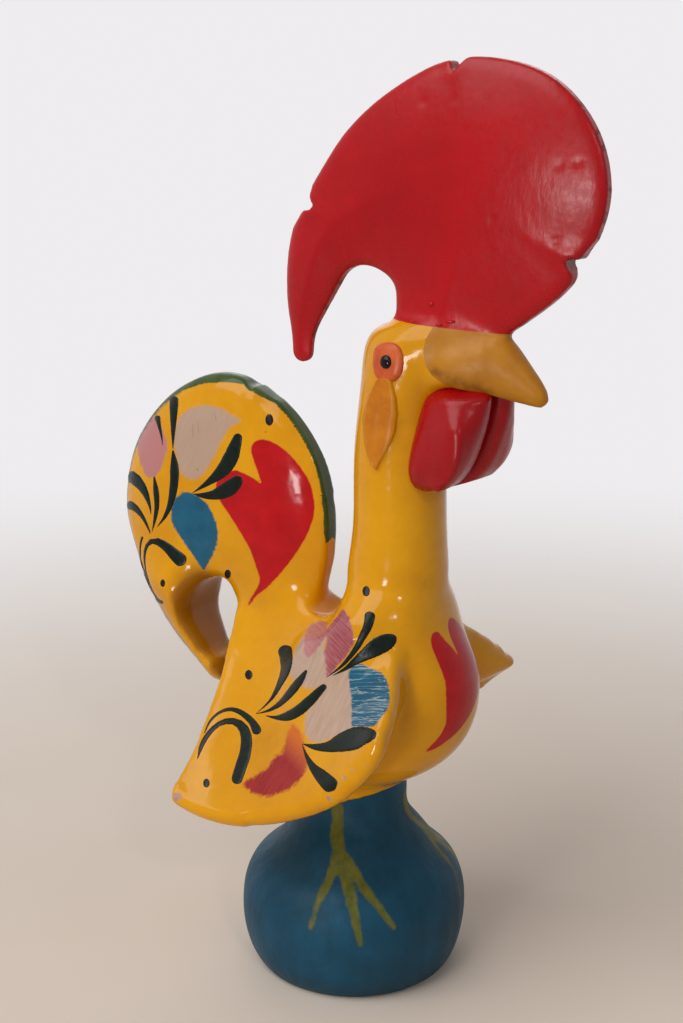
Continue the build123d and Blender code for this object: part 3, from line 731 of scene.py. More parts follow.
def in_picture(points, side=RIGHT_SIDE):
    """Picture pixels and depths of points, those on the left side by their mirror image."""
    rel = np.atleast_2d(points) * (1, -side, 1) - STAND
    depth = rel @ AHEAD
    flat = np.stack((rel @ ACROSS, -(rel @ UPWARD)), 1) / depth[:, None] * SIGHT_LENGTH
    return flat + (PICTURE_WIDTH / 2, PICTURE_HEIGHT / 2), depth


def in_sight(tree, points, normals, side):
    """Which points of the clay a line of sight reaches."""
    start = STAND * (1, -side, 1)
    rel = points - start
    seen = (rel * normals).sum(1) < 0
    far = np.linalg.norm(rel, axis=1)
    for i in np.flatnonzero(seen):
        hit = tree.ray_cast(Vector(start), Vector(rel[i] / far[i]))
        seen[i] = hit[3] is None or hit[3] > far[i] - SIGHT_SLACK
    return seen


yellow = as_piece("yellow_clay", clay, enamel, CLAY_NODES)
places = points_of(yellow.data)
facing = points_of(yellow.data, "normal")
seen = {side: in_sight(figure_tree, places, facing, side) for side in SIDES}
spots = {side: in_picture(places, side) for side in SIDES}


def on_side(shape, side):
    """A motif's picture points on one side; the left wing's are smaller and set a little back and up."""
    moved = np.array(shape, float)
    if side == LEFT_SIDE and moved[:, 1].mean() > WING_MOTIFS_BELOW:
        moved[:, :2] += (moved[:, :2] - LEFT_WING_MIDDLE) * (LEFT_WING_SIZE - 1) + LEFT_WING_SHIFT
    return moved


def painted_field(shapes, edges="smooth"):
    """Distance in millimetres from painted shapes on both sides of the figure, below zero inside them."""
    away = np.full(len(places), FAR)
    for side in SIDES:
        flat, depth = spots[side]
        for shape in shapes:
            loop = on_side(shape, side)
            loop = smooth_line(loop, True) if edges == "smooth" else loop
            low, high = loop.min(0) - NEAR_SHAPE, loop.max(0) + NEAR_SHAPE
            near = np.flatnonzero(seen[side] & ((flat > low) & (flat < high)).all(1))
            found = edge_distance(flat[near], loop) * depth[near] / SIGHT_LENGTH / MM
            away[near] = np.minimum(away[near], found)
    return np.clip(away, -FAR, FAR)


for name, shapes in (("white", WHITE_PETALS), ("pink", PINK_PETALS), ("blue", BLUE_PETALS),
                     ("rose", ROSE_PETALS), ("smudge_and_shade", OCHRE_SMUDGES_AND_SHADE)):
    keep_field(yellow, name, painted_field(shapes))
bearing = np.degrees(np.arctan2(places[:, 1], places[:, 0]))
unrolled = np.column_stack((np.radians(bearing) * BREAST_RADIUS, places[:, 2] / MM))
heart = smooth_line([(math.radians(turn) * BREAST_RADIUS, high) for turn, high in BREAST_HEART], True)
breast = (places[:, 0] > 0) & (np.abs(bearing) < BREAST_REACH)
breast &= (places[:, 2] > BREAST_LOW) & (places[:, 2] < BREAST_HIGH)
on_breast = np.full(len(places), FAR)
on_breast[breast] = np.clip(edge_distance(unrolled[breast], heart), -FAR, FAR)
keep_field(yellow, "red", np.minimum(painted_field(TAIL_HEARTS), on_breast))
rim = painted_field((RIM_INSIDE + RIM_OUTSIDE,), "straight")
level = in_picture(places * (1, 0, 1))[0] - RIM_MIDDLE
bearing = np.degrees(np.arctan2(level[:, 1], level[:, 0]))
bearing = np.where(bearing > 90, bearing - 360, bearing)
on_tail = (np.hypot(*level.T) > RIM_CLEAR) & (level[:, 0] < RIM_FRONT)
on_rim = on_tail & (bearing > RIM_FROM) & (bearing < RIM_TO)
on_back = on_tail & (facing[:, 0] < BACK_FACING) & (places[:, 2] > BACK_LOW) & (places[:, 0] < BACK_FROM)
sideways = np.abs(facing[:, 1])
rim = np.where(on_rim, np.minimum(rim, (sideways - RIM_FLAT) * RIM_SOFT), rim)
rim = np.where(on_back, np.minimum(rim, (sideways - BACK_FLAT) * BACK_SOFT), rim)
keep_field(yellow, "green", rim)
# Painted shade: faces inside the hook and in the tail's root valley that turn forward, away from the light,
# get a brown tint.
in_hook = np.clip((facing[:, 0] - HOOK_SHADE_FACING) / HOOK_SHADE_SOFT, 0, 1)
in_hook *= (places[:, 0] < HOOK_SHADE_FROM) * (places[:, 2] < HOOK_SHADE_TOP)
valley_shade = VALLEY_SHADE * np.clip((facing[:, 0] - VALLEY_FACING) / VALLEY_SOFT, 0, 1)
valley_shade *= np.clip(1 - np.abs(places[:, 2] - VALLEY_LEVEL) / VALLEY_HALF, 0, 1)
valley_shade *= (places[:, 0] < VALLEY_FRONT) * (places[:, 0] > VALLEY_REAR)
keep_field(yellow, "painted_shade", np.maximum(in_hook, valley_shade))
brush_place = np.where((places[:, 1] < 0)[:, None], spots[RIGHT_SIDE][0], spots[LEFT_SIDE][0])
keep_field(yellow, "brush", np.column_stack((brush_place, np.zeros(len(places)))))
keep_field(yellow, "bristles", np.clip((brush_place[:, 1] - WING_MOTIFS_BELOW) / BRISTLES_RUN, 0, 1))
slant = brush_place[:, 0] - brush_place[:, 1] * ROSE_SLANT
keep_field(yellow, "rose_fade", np.clip((slant - ROSE_START) / ROSE_RUN, 0, 1))
worn = np.full(len(places), FAR)
flat, depth = spots[RIGHT_SIDE]
for x, y, wide in CHIPS_AND_GLINTS:
    gap = np.hypot(flat[:, 0] - x, flat[:, 1] - y) - wide / 2
    worn = np.where(seen[RIGHT_SIDE], np.minimum(worn, gap * depth / SIGHT_LENGTH / MM), worn)
keep_field(yellow, "chips_and_glints", worn)


# Leaves and dots
# Leaves are single strokes of a loaded round brush in very dark green, thick where the brush was set down
# and drawn out to a hair. Dots are touches of black, and a few dark scratches lie on the tail.
LEAVES = (
    ((283.5, 645.4, 16.6), (286.4, 657.9, 14.1), (285.2, 671.1, 10.3), (279.1, 685.2, 6.3),
     (270.3, 700.2, 3), (256.2, 713.6, 0.4)),
    ((306.7, 670, 2.5), (300.1, 680.3, 8.3), (291, 691.9, 9.1), (281, 702.7, 6.3), (269.4, 710.1, 3.3),
     (256.2, 713.9, 0.4)),
    ((265.6, 715.6, 0.7), (276.1, 717.6, 4.3), (287.7, 716.2, 10.3), (298.5, 710.6, 11.9),
     (308.4, 702.2, 11.3), (318.4, 692.2, 9.1), (325.8, 684.9, 5.8)),
    ((204.4, 733.3, 1.3), (209.7, 721.7, 2.5), (218, 713.4, 3), (228, 709.3, 4), (237.1, 710.6, 5.3),
     (246.2, 716.2, 6.6), (253.7, 724.2, 8.3), (258.2, 734.2, 11.6)),
    ((197.5, 759, 0.7), (201.1, 746.8, 4.6), (207.8, 734.5, 5.3), (217.2, 725, 5), (226.3, 721.2, 6.3),
     (235.4, 721.7, 7.5), (242.9, 727.5, 10.3), (246.4, 737.5, 11.9), (245.4, 752.4, 12.4),
     (240.4, 768.1, 12.4), (235.4, 783.9, 11.6)),
    ((370.3, 611.5, 12.4), (368.3, 624.7, 10.3), (362.8, 636.3, 8.3), (354.8, 650.4, 6),
     (342.4, 665.3, 3.6), (326.6, 677.4, 0.4)),
    ((396.3, 636.8, 6.6), (388, 641.3, 17.4), (377.2, 646.6, 19.1), (366.4, 653.7, 14.1),
     (355.7, 660.9, 8.3), (344.9, 669, 4), (332.4, 675.6, 0.4)),
    ((302.6, 743.8, 0.7), (314.2, 746.8, 6.3), (328.3, 746.8, 11.6), (343.2, 742.1, 20.7),
     (357.3, 737.8, 23.2), (368.9, 735, 16.6), (376.4, 733.3, 6.6)),
    ((302.1, 744.1, 0.5), (306.7, 756.5, 4.1), (313.4, 767.7, 9.1), (322.2, 776.9, 14.9),
     (330.8, 785.6, 17.4), (334.9, 789.7, 9.9)),
    ((174.2, 396, 10.6), (173.5, 415, 8), (173.1, 436.7, 3.7), (172.9, 448.6, 0.9)),
    ((172.9, 450.2, 1.7), (174.4, 467.1, 9.1), (174, 484.4, 9.1), (170.7, 502.8, 6.9),
     (164.9, 516.5, 3.9), (157, 527.1, 0.4)),
    ((157, 415.5, 7.4), (159, 424.8, 4.3), (161.6, 436.7, 2.2), (162.5, 445.4, 0.4)),
    ((239, 433.5, 7.6), (235.3, 445.4, 13), (229.9, 459.5, 16.3), (221.7, 471.4, 14.1),
     (207.6, 482.9, 6.5), (192.4, 492.9, 0.4)),
    ((240.7, 476.8, 8.7), (234, 484.4, 15.2), (224.9, 490.9, 16.3), (214.1, 494.8, 10.8),
     (203.2, 495.5, 6.1), (193.5, 494, 0.7)),
    ((127.3, 474, 13.4), (137.1, 481.2, 11.9), (144.7, 492, 7.6), (149.5, 505, 3.3), (151, 514.3, 0.7)),
    ((126.3, 503.9, 10.8), (134.9, 507.8, 7.6), (142.5, 516.9, 4.3), (148.6, 528.9, 2.2),
     (150.1, 533.8, 0.7)),
    ((154, 476.4, 1.7), (156, 490.9, 6.1), (156.8, 505, 5.4), (155.1, 518, 3.9), (152.1, 531.7, 0.4)),
    ((184.8, 563.6, 15.2), (176.1, 556, 13.4), (166.8, 547.3, 9.8), (156.6, 541.2, 7.6),
     (148.6, 543, 4.8), (144.7, 552.7, 3), (145.1, 566.8, 1.7), (148.6, 580.9, 1.5), (153.4, 592.8, 1.7),
     (159.4, 602.6, 3)),
    ((142.5, 536.4, 2.6), (140.4, 545.1, 2.2), (140.4, 558.1, 1.7), (143.6, 575.5, 1.7),
     (149, 590.7, 2.2), (154.4, 599.3, 3)),
    ((154.5, 597.5, 3.4), (158, 600.5, 3.9), (163, 603, 3.6)))
DOTS = ((248.7, 674.8, 3.9, 4.9), (206.4, 783.1, 3.4, 4.4), (366.1, 591.2, 3.9, 5.2),
        (269.3, 419.8, 4.1, 5.9), (227.7, 574, 3.3, 4.4), (162.7, 583.1, 2.6, 3.7))
SCRATCHES = (
    ((192.6, 424, 0.8), (192.9, 431, 1.1), (193.2, 438, 0.6)),
    ((197.6, 421, 0.6), (198.3, 428, 1), (198, 435, 0.5)),
    ((214.6, 413, 0.5), (215.6, 417, 1), (216, 421, 0.4)),
    ((255.5, 383, 1.8), (254.4, 390, 1.3), (253.8, 397, 0.4)))
STROKE_PROUD, STROKE_SUNK, STROKE_BODY, SCRATCH_PROUD = 0.2 * MM, 0.03 * MM, 0.25 * MM, 0.06 * MM
STROKE_LEAST, STROKE_TIP, STROKE_FULL = 0.15, 0.12, 3
WAVER, WAVER_PITCH, HALF_PIXEL = 0.05, 0.21, 0.5
DOT_STEPS, OVAL_END = 9, 0.2
HOOK_INNER, SETTLE_STEP = (190, 570), 0.04
LEAF_GREENS = (paint(2, 14, 8), paint(6, 26, 14))
DOT_BLACKS = (paint(8, 8, 10), paint(24, 20, 22))


def settled(tree, pixel, inner, side):
    """The clay under a pixel, or under the nearest one towards an inner point where the first misses."""
    for towards in (inner, HOOK_INNER):
        for share in np.arange(0, 1.01, SETTLE_STEP):
            spot, way, far = onto(tree, np.add(pixel, share * np.subtract(towards, pixel)), side)
            if spot is not None:
                return spot, way, far
    raise ValueError("a stroke misses the clay")


def loaded(u, across):
    """The section of a loaded stroke: full in the middle, falling at its two edges."""
    return 1 - across ** 4


def oval(middle, half, square=2.0, steps=DOT_STEPS):
    """The line and widths of an oval patch, squared by a power."""
    line = []
    for a in np.linspace(0, math.pi, steps):
        width = 2 * half[0] * (1 - abs(math.cos(a)) ** square) ** (1 / square)
        line.append((middle[0], middle[1] - half[1] * math.cos(a), width + OVAL_END))
    return line


def lay_stroke(bm, tree, line, side, along=26, wide=6, blunt=0.4,
               proud=STROKE_PROUD, rise=loaded, body=STROKE_BODY):
    """One loaded stroke of paint on the clay: a grid laid along the line, domed and given a body."""
    line = smooth_line(line, steps=8)
    walked = np.concatenate(([0], np.cumsum(np.hypot(*np.diff(line[:, :2], axis=0).T))))
    length = walked[-1]
    middle = line[len(line) // 2][:2]
    beside = bm.verts.layers.float.get("beside") or bm.verts.layers.float.new("beside")
    grid = bmesh.ops.create_grid(bm, x_segments=along, y_segments=wide, size=1)["verts"]
    inward = {}
    for v in grid:
        u, across = 0.5 + 0.5 * v.co.x, v.co.y
        u = u * u * (3 - 2 * u)
        gone = u * length
        x, y, width = (np.interp(gone, walked, line[:, k]) for k in range(3))
        ends = (gone - HALF_PIXEL, gone + HALF_PIXEL)
        ahead = [np.diff(np.interp(ends, walked, line[:, k]))[0] for k in range(2)]
        run = math.hypot(*ahead) or 1
        first, last = line[0, 2] * blunt, line[-1, 2] * blunt
        cap = 1.0
        if gone < first:
            cap = math.sqrt(max(0, 1 - (1 - gone / first) ** 2))
        if length - gone < last:
            cap = min(cap, math.sqrt(max(0, 1 - (1 - (length - gone) / last) ** 2)))
        waver = 1 + WAVER * noise.noise((x * WAVER_PITCH, y * WAVER_PITCH, across))
        half = max(STROKE_LEAST, 0.5 * width * max(cap, STROKE_TIP) * waver)
        pixel = (x - ahead[1] / run * half * across, y + ahead[0] / run * half * across)
        spot, way, _ = settled(tree, pixel, middle, side)
        loading = 0.55 + 0.45 * min(1, half / STROKE_FULL)
        v.co = spot + way * (proud * rise(u, across) * loading - STROKE_SUNK)
        v[beside] = across
        inward[v.co[:]] = -way * body
    faces = list({f for v in grid for f in v.link_faces})
    sunk = bmesh.ops.extrude_face_region(bm, geom=faces)["geom"]
    for v in [part for part in sunk if isinstance(part, bmesh.types.BMVert)]:
        v.co += inward[v.co[:]]


leaf_paint, tree, shader, place = new_finish("leaf_green")
brush_marks = mottle(tree, place, 2.2 * MM, 0.3, 0.7)
colour = coat(tree, brush_marks, *LEAF_GREENS)
finished(tree, shader, colour, span(tree, brush_marks, 0, 1, 0.22, 0.34), ENAMEL_SHINE)
raise_grain(tree, shader, brush_marks, 0.04 * MM)
strokes = bmesh.new()
for side in SIDES:
    for leaf in LEAVES:
        lay_stroke(strokes, figure_tree, on_side(leaf, side), side)
as_piece("leaf_strokes", strokes, leaf_paint)

dot_paint, tree, shader, place = new_finish("dot_black")
brush_marks = mottle(tree, place, 1.5 * MM, 0.3, 0.7)
colour = coat(tree, brush_marks, *DOT_BLACKS)
finished(tree, shader, colour, span(tree, brush_marks, 0, 1, 0.2, 0.32), ENAMEL_SHINE)
dots = bmesh.new()
for side in SIDES:
    for x, y, half_wide, half_tall in DOTS:
        dot = oval((x, y), (half_wide, half_tall))
        lay_stroke(dots, figure_tree, on_side(dot, side), side, 12, 8)
for scratch in SCRATCHES:
    lay_stroke(dots, figure_tree, scratch, RIGHT_SIDE, 10, 2, 0, SCRATCH_PROUD)
as_piece("paint_dots", dots, dot_paint)


# Comb and wattles
# The comb is a thick slab of clay cut to a crescent and luted on the crown, with three knocks in its edge.
# The wattles are two pressed leaves luted under the beak. All carry one coat of semi-gloss red, which
# has dried in a few beads at the comb's foot.
COMB_SHINE = 0.3
COMB_REDS = (paint(186, 6, 16), paint(170, 3, 12))
WATTLE_REDS = (paint(172, 3, 12), paint(154, 2, 9))
WATTLE_ROWS = ((374, 443, 447, 476), (380, 440.5, 445, 480), (386, 437, 444, 484),
               (392, 430.5, 446, 486.5), (400, 426, 448.5, 487.5), (410, 422.4, 450.5, 486.5),
               (420, 419.3, 452.3, 484.7), (432, 416.3, 453.8, 481.8), (445, 413, 454.6, 477.6),
               (458, 410.4, 454.2, 472.8), (468, 409.4, 452, 467.6), (477, 410.4, 448, 461.6),
               (484, 413.4, 442.5, 454.6), (488.5, 419, 437, 448), (491, 427, 434, 440))
WATTLE_LEVELS = (374, 382, 390, 400, 430, 460, 484, 491)
WATTLE_PROUD = (2.4, 3.4, 6.5, 11.5, 16, 16.6, 16, 14.5)
WATTLE_BACK = (2.2, 3, 4.5, 6, 6, 6, 6, 6)
WATTLE_FRONT = (2.2, 3, 4.5, 6.5, 7.5, 8, 9.5, 12)
WATTLE_INNER, WATTLE_FULL, WATTLE_CHEEK = 1.5 * MM, 0.9 * MM, 1.1 * MM
WATTLE_FRONT_IN, WATTLE_BACK_IN, WATTLE_RUBS = 0.12, 0.1, 3
WATTLE_ON_NECK, WATTLE_OFF_NECK = 396, 0.6 * MM
LEFT_WATTLE_FORWARD = 2.6 * MM
COMB_BEADS = ((431.4, 304, 2.3, 2.5), (450.5, 321.8, 5, 1.9), (439, 325.3, 3.6, 1.5))
BEAD_PROUD = 0.8 * MM
FINE_RED, WORN_RED, NICK_RED = paint(136, 2, 10), paint(88, 14, 16), paint(62, 12, 12)
BARED_PINK = paint(150, 92, 84)
EDGE_FACING, NICK_FACING, FACING_SOFT = 0.75, 0.8, 0.3
NICK_REACH, NICK_SOFT = 1.6, 2.2 * MM


def red_coat(name, light, dark, scuffed=False):
    """The semi-gloss red: a scuffed edge is worn dark and bared pink by the marks kept on the mesh."""
    made, tree, shader, place = new_finish(name)
    clouds = mottle(tree, place, 30 * MM)
    fine = mottle(tree, place, 2.5 * MM, 0.3, 0.7)
    colour = coat(tree, clouds, light, dark)
    colour = coat(tree, reckon(tree, "MULTIPLY", fine, 0.18), colour, FINE_RED)
    rough = span(tree, fine, 0, 1, 0.24, 0.34)
    if scuffed:
        worn = reckon(tree, "MULTIPLY", field(tree, "edge"), mottle(tree, place, 4 * MM, 0.52, 0.62))
        colour = coat(tree, reckon(tree, "MULTIPLY", worn, 0.55), colour, WORN_RED)
        bared = reckon(tree, "MULTIPLY", field(tree, "edge"), mottle(tree, place, 1.8 * MM, 0.62, 0.68))
        colour = coat(tree, reckon(tree, "MULTIPLY", bared, 0.45), colour, BARED_PINK)
        colour = coat(tree, reckon(tree, "MULTIPLY", field(tree, "nick"), 0.75), colour, NICK_RED)
        rough = reckon(tree, "ADD", rough, reckon(tree, "MULTIPLY", worn, 0.25))
    finished(tree, shader, colour, rough, COMB_SHINE)
    drawn_out = stretched(tree, place, (1, 1, 0.4), (0, math.radians(30), 0))
    brushed = mottle(tree, drawn_out, 2.5 * MM, 0.2, 0.8, 3)
    uneven = mottle(tree, place, 8 * MM, 0.2, 0.8, 2)
    raise_grain(tree, shader, reckon(tree, "ADD", brushed, uneven), 0.1 * MM, 0.6)
    return made


crest = as_piece("comb_clay", comb, red_coat("comb_red", *COMB_REDS, scuffed=True), ("comb",))
places = points_of(crest.data)
sideways = np.abs(points_of(crest.data, "normal")[:, 1])
keep_field(crest, "edge", np.clip((EDGE_FACING - sideways) / FACING_SOFT, 0, 1))
nick = np.min([np.hypot(places[:, 0] - x * MM, places[:, 2] - z * MM) for x, z in NOTCHES], axis=0)
nick = np.clip(NICK_REACH - nick / NICK_SOFT, 0, 1)
keep_field(crest, "nick", nick * np.clip((NICK_FACING - sideways) / FACING_SOFT, 0, 1))


def drop_rise(u, across):
    """The section of a drop of thick paint."""
    return math.sqrt(max(0, 1 - across ** 2)) * math.sqrt(max(0, 1 - (2 * u - 1) ** 2))


def at_plane(pixel, across):
    """Where a line of sight meets an upright plane beside the middle of the figure."""
    start, way = sight_line(pixel)
    return start + way * ((across - start.y) / way.y)


rows = []
for y, left, fold, right in WATTLE_ROWS:
    back, ridge, front = (at_plane((x, y), -np.interp(y, WATTLE_LEVELS, away) * MM)
                          for x, away in ((left, WATTLE_BACK), (fold, WATTLE_PROUD), (right, WATTLE_FRONT)))
    if y > WATTLE_ON_NECK:
        back = onto(figure_tree, (left, y))[0] - Vector((0, WATTLE_OFF_NECK, 0))
    run = front.x - back.x
    rear_cheek = (back + ridge) / 2 - Vector((0, WATTLE_FULL, 0))
    front_cheek = (ridge + front) / 2 + Vector((WATTLE_FULL, -WATTLE_CHEEK, 0))
    inner_front = Vector((front.x - WATTLE_FRONT_IN * run, -WATTLE_INNER, front.z))
    inner_back = Vector((back.x + WATTLE_BACK_IN * run, -WATTLE_INNER, back.z))
    rows.append((back, rear_cheek, ridge, front_cheek, front, inner_front, inner_back))
rings = np.array([smooth_line(ring, True) for ring in smooth_line(rows, steps=4)])
down, around = len(rings) - 1, len(rings[0])
wattles = bmesh.new()
for side in SIDES:
    forward = LEFT_WATTLE_FORWARD if side == LEFT_SIDE else 0
    for v in bmesh.ops.create_grid(wattles, x_segments=down, y_segments=around, size=1)["verts"]:
        spot = rings[round((v.co.x + 1) / 2 * down)][round((v.co.y + 1) / 2 * around) % around]
        v.co = spot * (1, -side, 1) + (forward, 0, 0)
bmesh.ops.remove_doubles(wattles, verts=wattles.verts, dist=1e-6)
open_rims = [e for e in wattles.edges if e.is_boundary]
lids = bmesh.ops.holes_fill(wattles, edges=open_rims, sides=0)["faces"]
bmesh.ops.poke(wattles, faces=lids)
eased(wattles, wattles.verts, WATTLE_RUBS)
wattle_coat = red_coat("wattle_red", *WATTLE_REDS)
as_piece("wattle_clay", wattles, wattle_coat, ("left_wattle", "right_wattle"))

beads = bmesh.new()
for side in SIDES:
    for x, y, half_wide, half_tall in COMB_BEADS:
        bead = oval((x, y), (half_wide, half_tall))
        lay_stroke(beads, figure_tree, bead, side, 10, 10, 0, BEAD_PROUD, drop_rise)
as_piece("comb_beads", beads, red_coat("bead_red", *COMB_REDS))


# Beak
# The beak is a tapered roll of clay drawn out to a blunt hook and washed with ochre over the yellow,
# with a painted shade of brown along the edge where it turns under.
UNDER_SHADE_LINE = ((432, 371), (441, 375), (455, 381), (470, 387), (490, 392))
UNDER_SHADE_WIDE = 1.7 * MM
OCHRES = (paint(178, 112, 18), paint(192, 126, 22))
FINE_BROWN, UNDER_SHADE_BROWN = paint(144, 84, 16), paint(100, 52, 14)

beak_wash, tree, shader, place = new_finish("beak_ochre")
clouds = mottle(tree, place, 14 * MM)
fine = mottle(tree, place, 2 * MM, 0.3, 0.7)
colour = coat(tree, clouds, *OCHRES)
colour = coat(tree, reckon(tree, "MULTIPLY", fine, 0.15), colour, FINE_BROWN)
# Painted shade: brown along the beak's lower edge, where it turns under.
under_shade = reckon(tree, "MULTIPLY", field(tree, "painted_under_shade"), mottle(tree, place, 3 * MM, 0.25, 0.6))
colour = coat(tree, reckon(tree, "MULTIPLY", under_shade, 0.65), colour, UNDER_SHADE_BROWN)
finished(tree, shader, colour, span(tree, fine, 0, 1, 0.34, 0.46), COMB_SHINE)
bill = as_piece("beak_clay", beak, beak_wash, ("beak",))
places = points_of(bill.data)
gaps = np.full(len(places), 1.0)
for side in SIDES:
    under_shade_path = smooth_line([(*onto(figure_tree, pixel, side)[0], 0) for pixel in UNDER_SHADE_LINE])
    gaps = np.minimum(gaps, off_line(places, under_shade_path))
keep_field(bill, "painted_under_shade", np.exp(-(gaps / UNDER_SHADE_WIDE) ** 2))


# Eyes
# Each eye is a pressed pad of clay, a little squared, luted on the head and painted orange.
# Its pupil is a shiny drop of black touched on last.
EYE_MIDDLE, EYE_HALF, EYE_SQUARE = (388.2, 362.2), (15.6, 20), 2.3
PUPIL_MIDDLE, PUPIL_HALF = (385.7, 361.9), (5.6, 6.9)
EYE_PROUD, PUPIL_PROUD, PAD_BODY, PUPIL_BODY = 1.25 * MM, 0.9 * MM, 0.9 * MM, 0.35 * MM
EYE_STEPS = 13
ORANGES = (paint(192, 76, 34), paint(210, 100, 52))
PUPIL_BLACKS = (paint(6, 6, 8), paint(16, 14, 16))


def pad(u, across):
    """The section of a pressed pad: nearly flat, with its edges rounded over."""
    rounded = math.sqrt(max(0, 1 - abs(across) ** 5)) * math.sqrt(max(0, 1 - abs(2 * u - 1) ** 6))
    return rounded * (1 - 0.12 * across ** 2)


eye_paint, tree, shader, place = new_finish("eye_orange")
clouds = mottle(tree, place, 5 * MM)
colour = coat(tree, clouds, *ORANGES)
finished(tree, shader, colour, span(tree, clouds, 0, 1, 0.24, 0.34), ENAMEL_SHINE)
eyes = bmesh.new()
eye_patch = oval(EYE_MIDDLE, EYE_HALF, EYE_SQUARE, EYE_STEPS)
for side in SIDES:
    lay_stroke(eyes, figure_tree, eye_patch, side, 24, 16, 0, EYE_PROUD, pad, PAD_BODY)
bmesh.ops.recalc_face_normals(eyes, faces=eyes.faces)
eye_tree = BVHTree.FromBMesh(eyes)
as_piece("eye_pads", eyes, eye_paint, ("left_eye", "right_eye"))

pupil_paint, tree, shader, place = new_finish("pupil_black")
clouds = mottle(tree, place, 2 * MM)
colour = coat(tree, clouds, *PUPIL_BLACKS)
finished(tree, shader, colour, span(tree, clouds, 0, 1, 0.08, 0.14), ENAMEL_SHINE)
pupils = bmesh.new()
pupil_patch = oval(PUPIL_MIDDLE, PUPIL_HALF, steps=EYE_STEPS)
for side in SIDES:
    lay_stroke(pupils, eye_tree, pupil_patch, side, 16, 12, 0, PUPIL_PROUD, drop_rise, PUPIL_BODY)
as_piece("pupils", pupils, pupil_paint)


# Ear lobes
# Each ear lobe is a thin leaf of clay pressed on below the eye, with a thumbed crease down its middle.
# It is painted amber, with a lighter yellow rim: partly the yellow ground, partly a painted highlight along
# its edge.
LOBE = ((384.3, 378, 16.1), (384.3, 383.9, 17.6), (382.8, 398.6, 27.9), (380.9, 416.2, 33.6),
        (379.3, 433.8, 30.5), (377.1, 449.9, 20.2), (376.1, 460.2, 10.6), (376.9, 469.7, 0.6))
LOBE_PROUD = 1.7 * MM
AMBERS, RIM_YELLOW_AND_HIGHLIGHT = (paint(190, 108, 18), paint(206, 124, 22)), paint(218, 150, 14)


def thumbed(u, across):
    """The section of a lobe: a raised rim and a crease down the middle that dies out at both ends."""
    ends = math.sin(math.pi * min(1, max(0, (u - 0.12) / 0.66)))
    crease = 0.3 * ends * math.exp(-(across / 0.3) ** 2)
    return math.sqrt(max(0, 1 - across ** 8)) * (0.66 + 0.34 * across ** 2 - crease)


lobe_paint, tree, shader, place = new_finish("lobe_amber")
clouds = mottle(tree, place, 6 * MM)
# The lighter rim is partly the yellow ground showing and partly a painted highlight along the lobe's edge.
rim = span(tree, reckon(tree, "ABSOLUTE", field(tree, "beside")), 0.72, 0.92)
colour = coat(tree, rim, coat(tree, clouds, *AMBERS), RIM_YELLOW_AND_HIGHLIGHT)
finished(tree, shader, colour, span(tree, clouds, 0, 1, 0.26, 0.36), ENAMEL_SHINE)
lobes = bmesh.new()
for side in SIDES:
    lay_stroke(lobes, figure_tree, LOBE, side, 36, 16, 0.3, LOBE_PROUD, thumbed, PAD_BODY)
as_piece("ear_lobe_leaves", lobes, lobe_paint, ("left_ear_lobe", "right_ear_lobe"))


# Floor and light
# A plain pale floor fades out into a plain pale surround, which is darker behind the viewpoint.
# A large soft lamp lights the near side and another the far side; two small ones give the enamel its shine.
FLOOR_RADIUS = 3.0
FADE_FROM, FADE_TO = 0.08, 0.85
FLOOR_COLOURS = (paint(226, 211, 196), paint(232, 218, 204))
SURROUND, ROOM = 0.88, 0.45
ROOM_EDGE, SURROUND_EDGE = -0.5, 0.5
FILL = 0.24
SKY_WHITE = paint(252, 250, 252)
FLOOR_ROUGH, FLOOR_SHINE, FLOOR_CLOUDS = 0.8, 0.2, 300 * MM
LAMPS_AIM = Vector((0, 0, 160 * MM))
LAMPS = (("soft_key", 1.3, 16, -112, 48, 1.6), ("small_window", 0.085, 1.7, -42, 28, 1.6),
         ("side_panel", 0.26, 5.2, -88, 0, 1.6), ("far_side", 1.8, 8, 122, 38, 1.8))

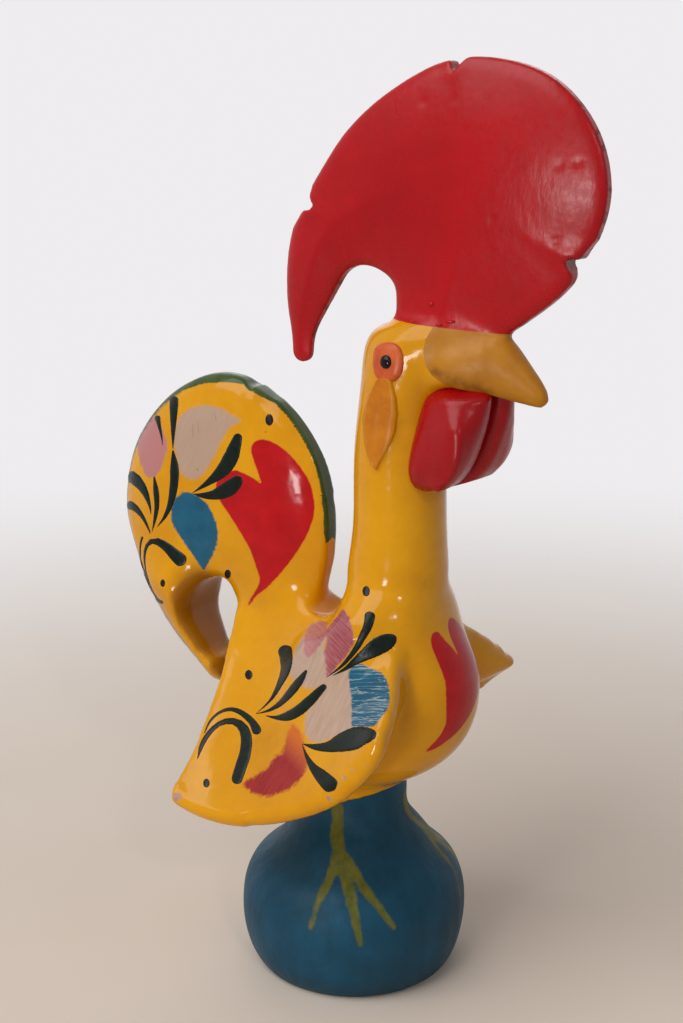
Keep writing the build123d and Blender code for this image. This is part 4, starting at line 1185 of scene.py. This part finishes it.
floor_mesh = bmesh.new()
bmesh.ops.create_circle(floor_mesh, cap_ends=True, segments=64, radius=FLOOR_RADIUS)
pale, tree, shader, place = new_finish("pale_floor")
tree.links.new(coat(tree, mottle(tree, place, FLOOR_CLOUDS), *FLOOR_COLOURS), shader.inputs["Base Color"])
shader.inputs["Roughness"].default_value = FLOOR_ROUGH
shader.inputs["Specular IOR Level"].default_value = FLOOR_SHINE
reach = knot(tree, "VectorMath", {0: place}, operation="LENGTH").outputs["Value"]
clear = knot(tree, "MapRange", {0: reach, 1: FADE_FROM, 2: FADE_TO}, interpolation_type="SMOOTHERSTEP")
glass = knot(tree, "BsdfTransparent")
faded = knot(tree, "MixShader", {0: clear.outputs[0], 1: shader.outputs[0], 2: glass.outputs[0]})
tree.links.new(faded.outputs[0], tree.nodes["Material Output"].inputs["Surface"])
sheet = bpy.data.meshes.new("pale_floor")
floor_mesh.to_mesh(sheet)
floor_mesh.free()
sheet.materials.append(pale)
floor = bpy.data.objects.new("pale_floor", sheet)
scene.collection.objects.link(floor)

world = bpy.data.worlds.new("studio")
scene.world = world
world.use_nodes = True
tree = world.node_tree
sky = tree.nodes["Background"]
sky.inputs["Color"].default_value = SKY_WHITE
ray = knot(tree, "LightPath").outputs
bounced = reckon(tree, "ADD", ray["Is Glossy Ray"], ray["Is Transmission Ray"])
shown = reckon(tree, "ADD", ray["Is Camera Ray"], bounced, clamp=True)
way = knot(tree, "TexCoord").outputs["Generated"]
behind = knot(tree, "VectorMath", {0: way, 1: (*AHEAD[:2], 0)}, operation="DOT_PRODUCT").outputs["Value"]
backdrop = span(tree, behind, ROOM_EDGE, SURROUND_EDGE, ROOM, SURROUND)
tree.links.new(span(tree, shown, 0, 1, FILL, backdrop), sky.inputs["Strength"])

for name, size, power, bearing, rise, far in LAMPS:
    light = bpy.data.lights.new(name, "AREA")
    light.size = size
    light.energy = power
    lamp = bpy.data.objects.new(name, light)
    bearing, rise = math.radians(bearing), math.radians(rise)
    level = math.cos(rise)
    outward = Vector((level * math.cos(bearing), level * math.sin(bearing), math.sin(rise)))
    lamp.location = LAMPS_AIM + far * outward
    lamp.rotation_euler = (-outward).to_track_quat("-Z", "Y").to_euler()
    scene.collection.objects.link(lamp)
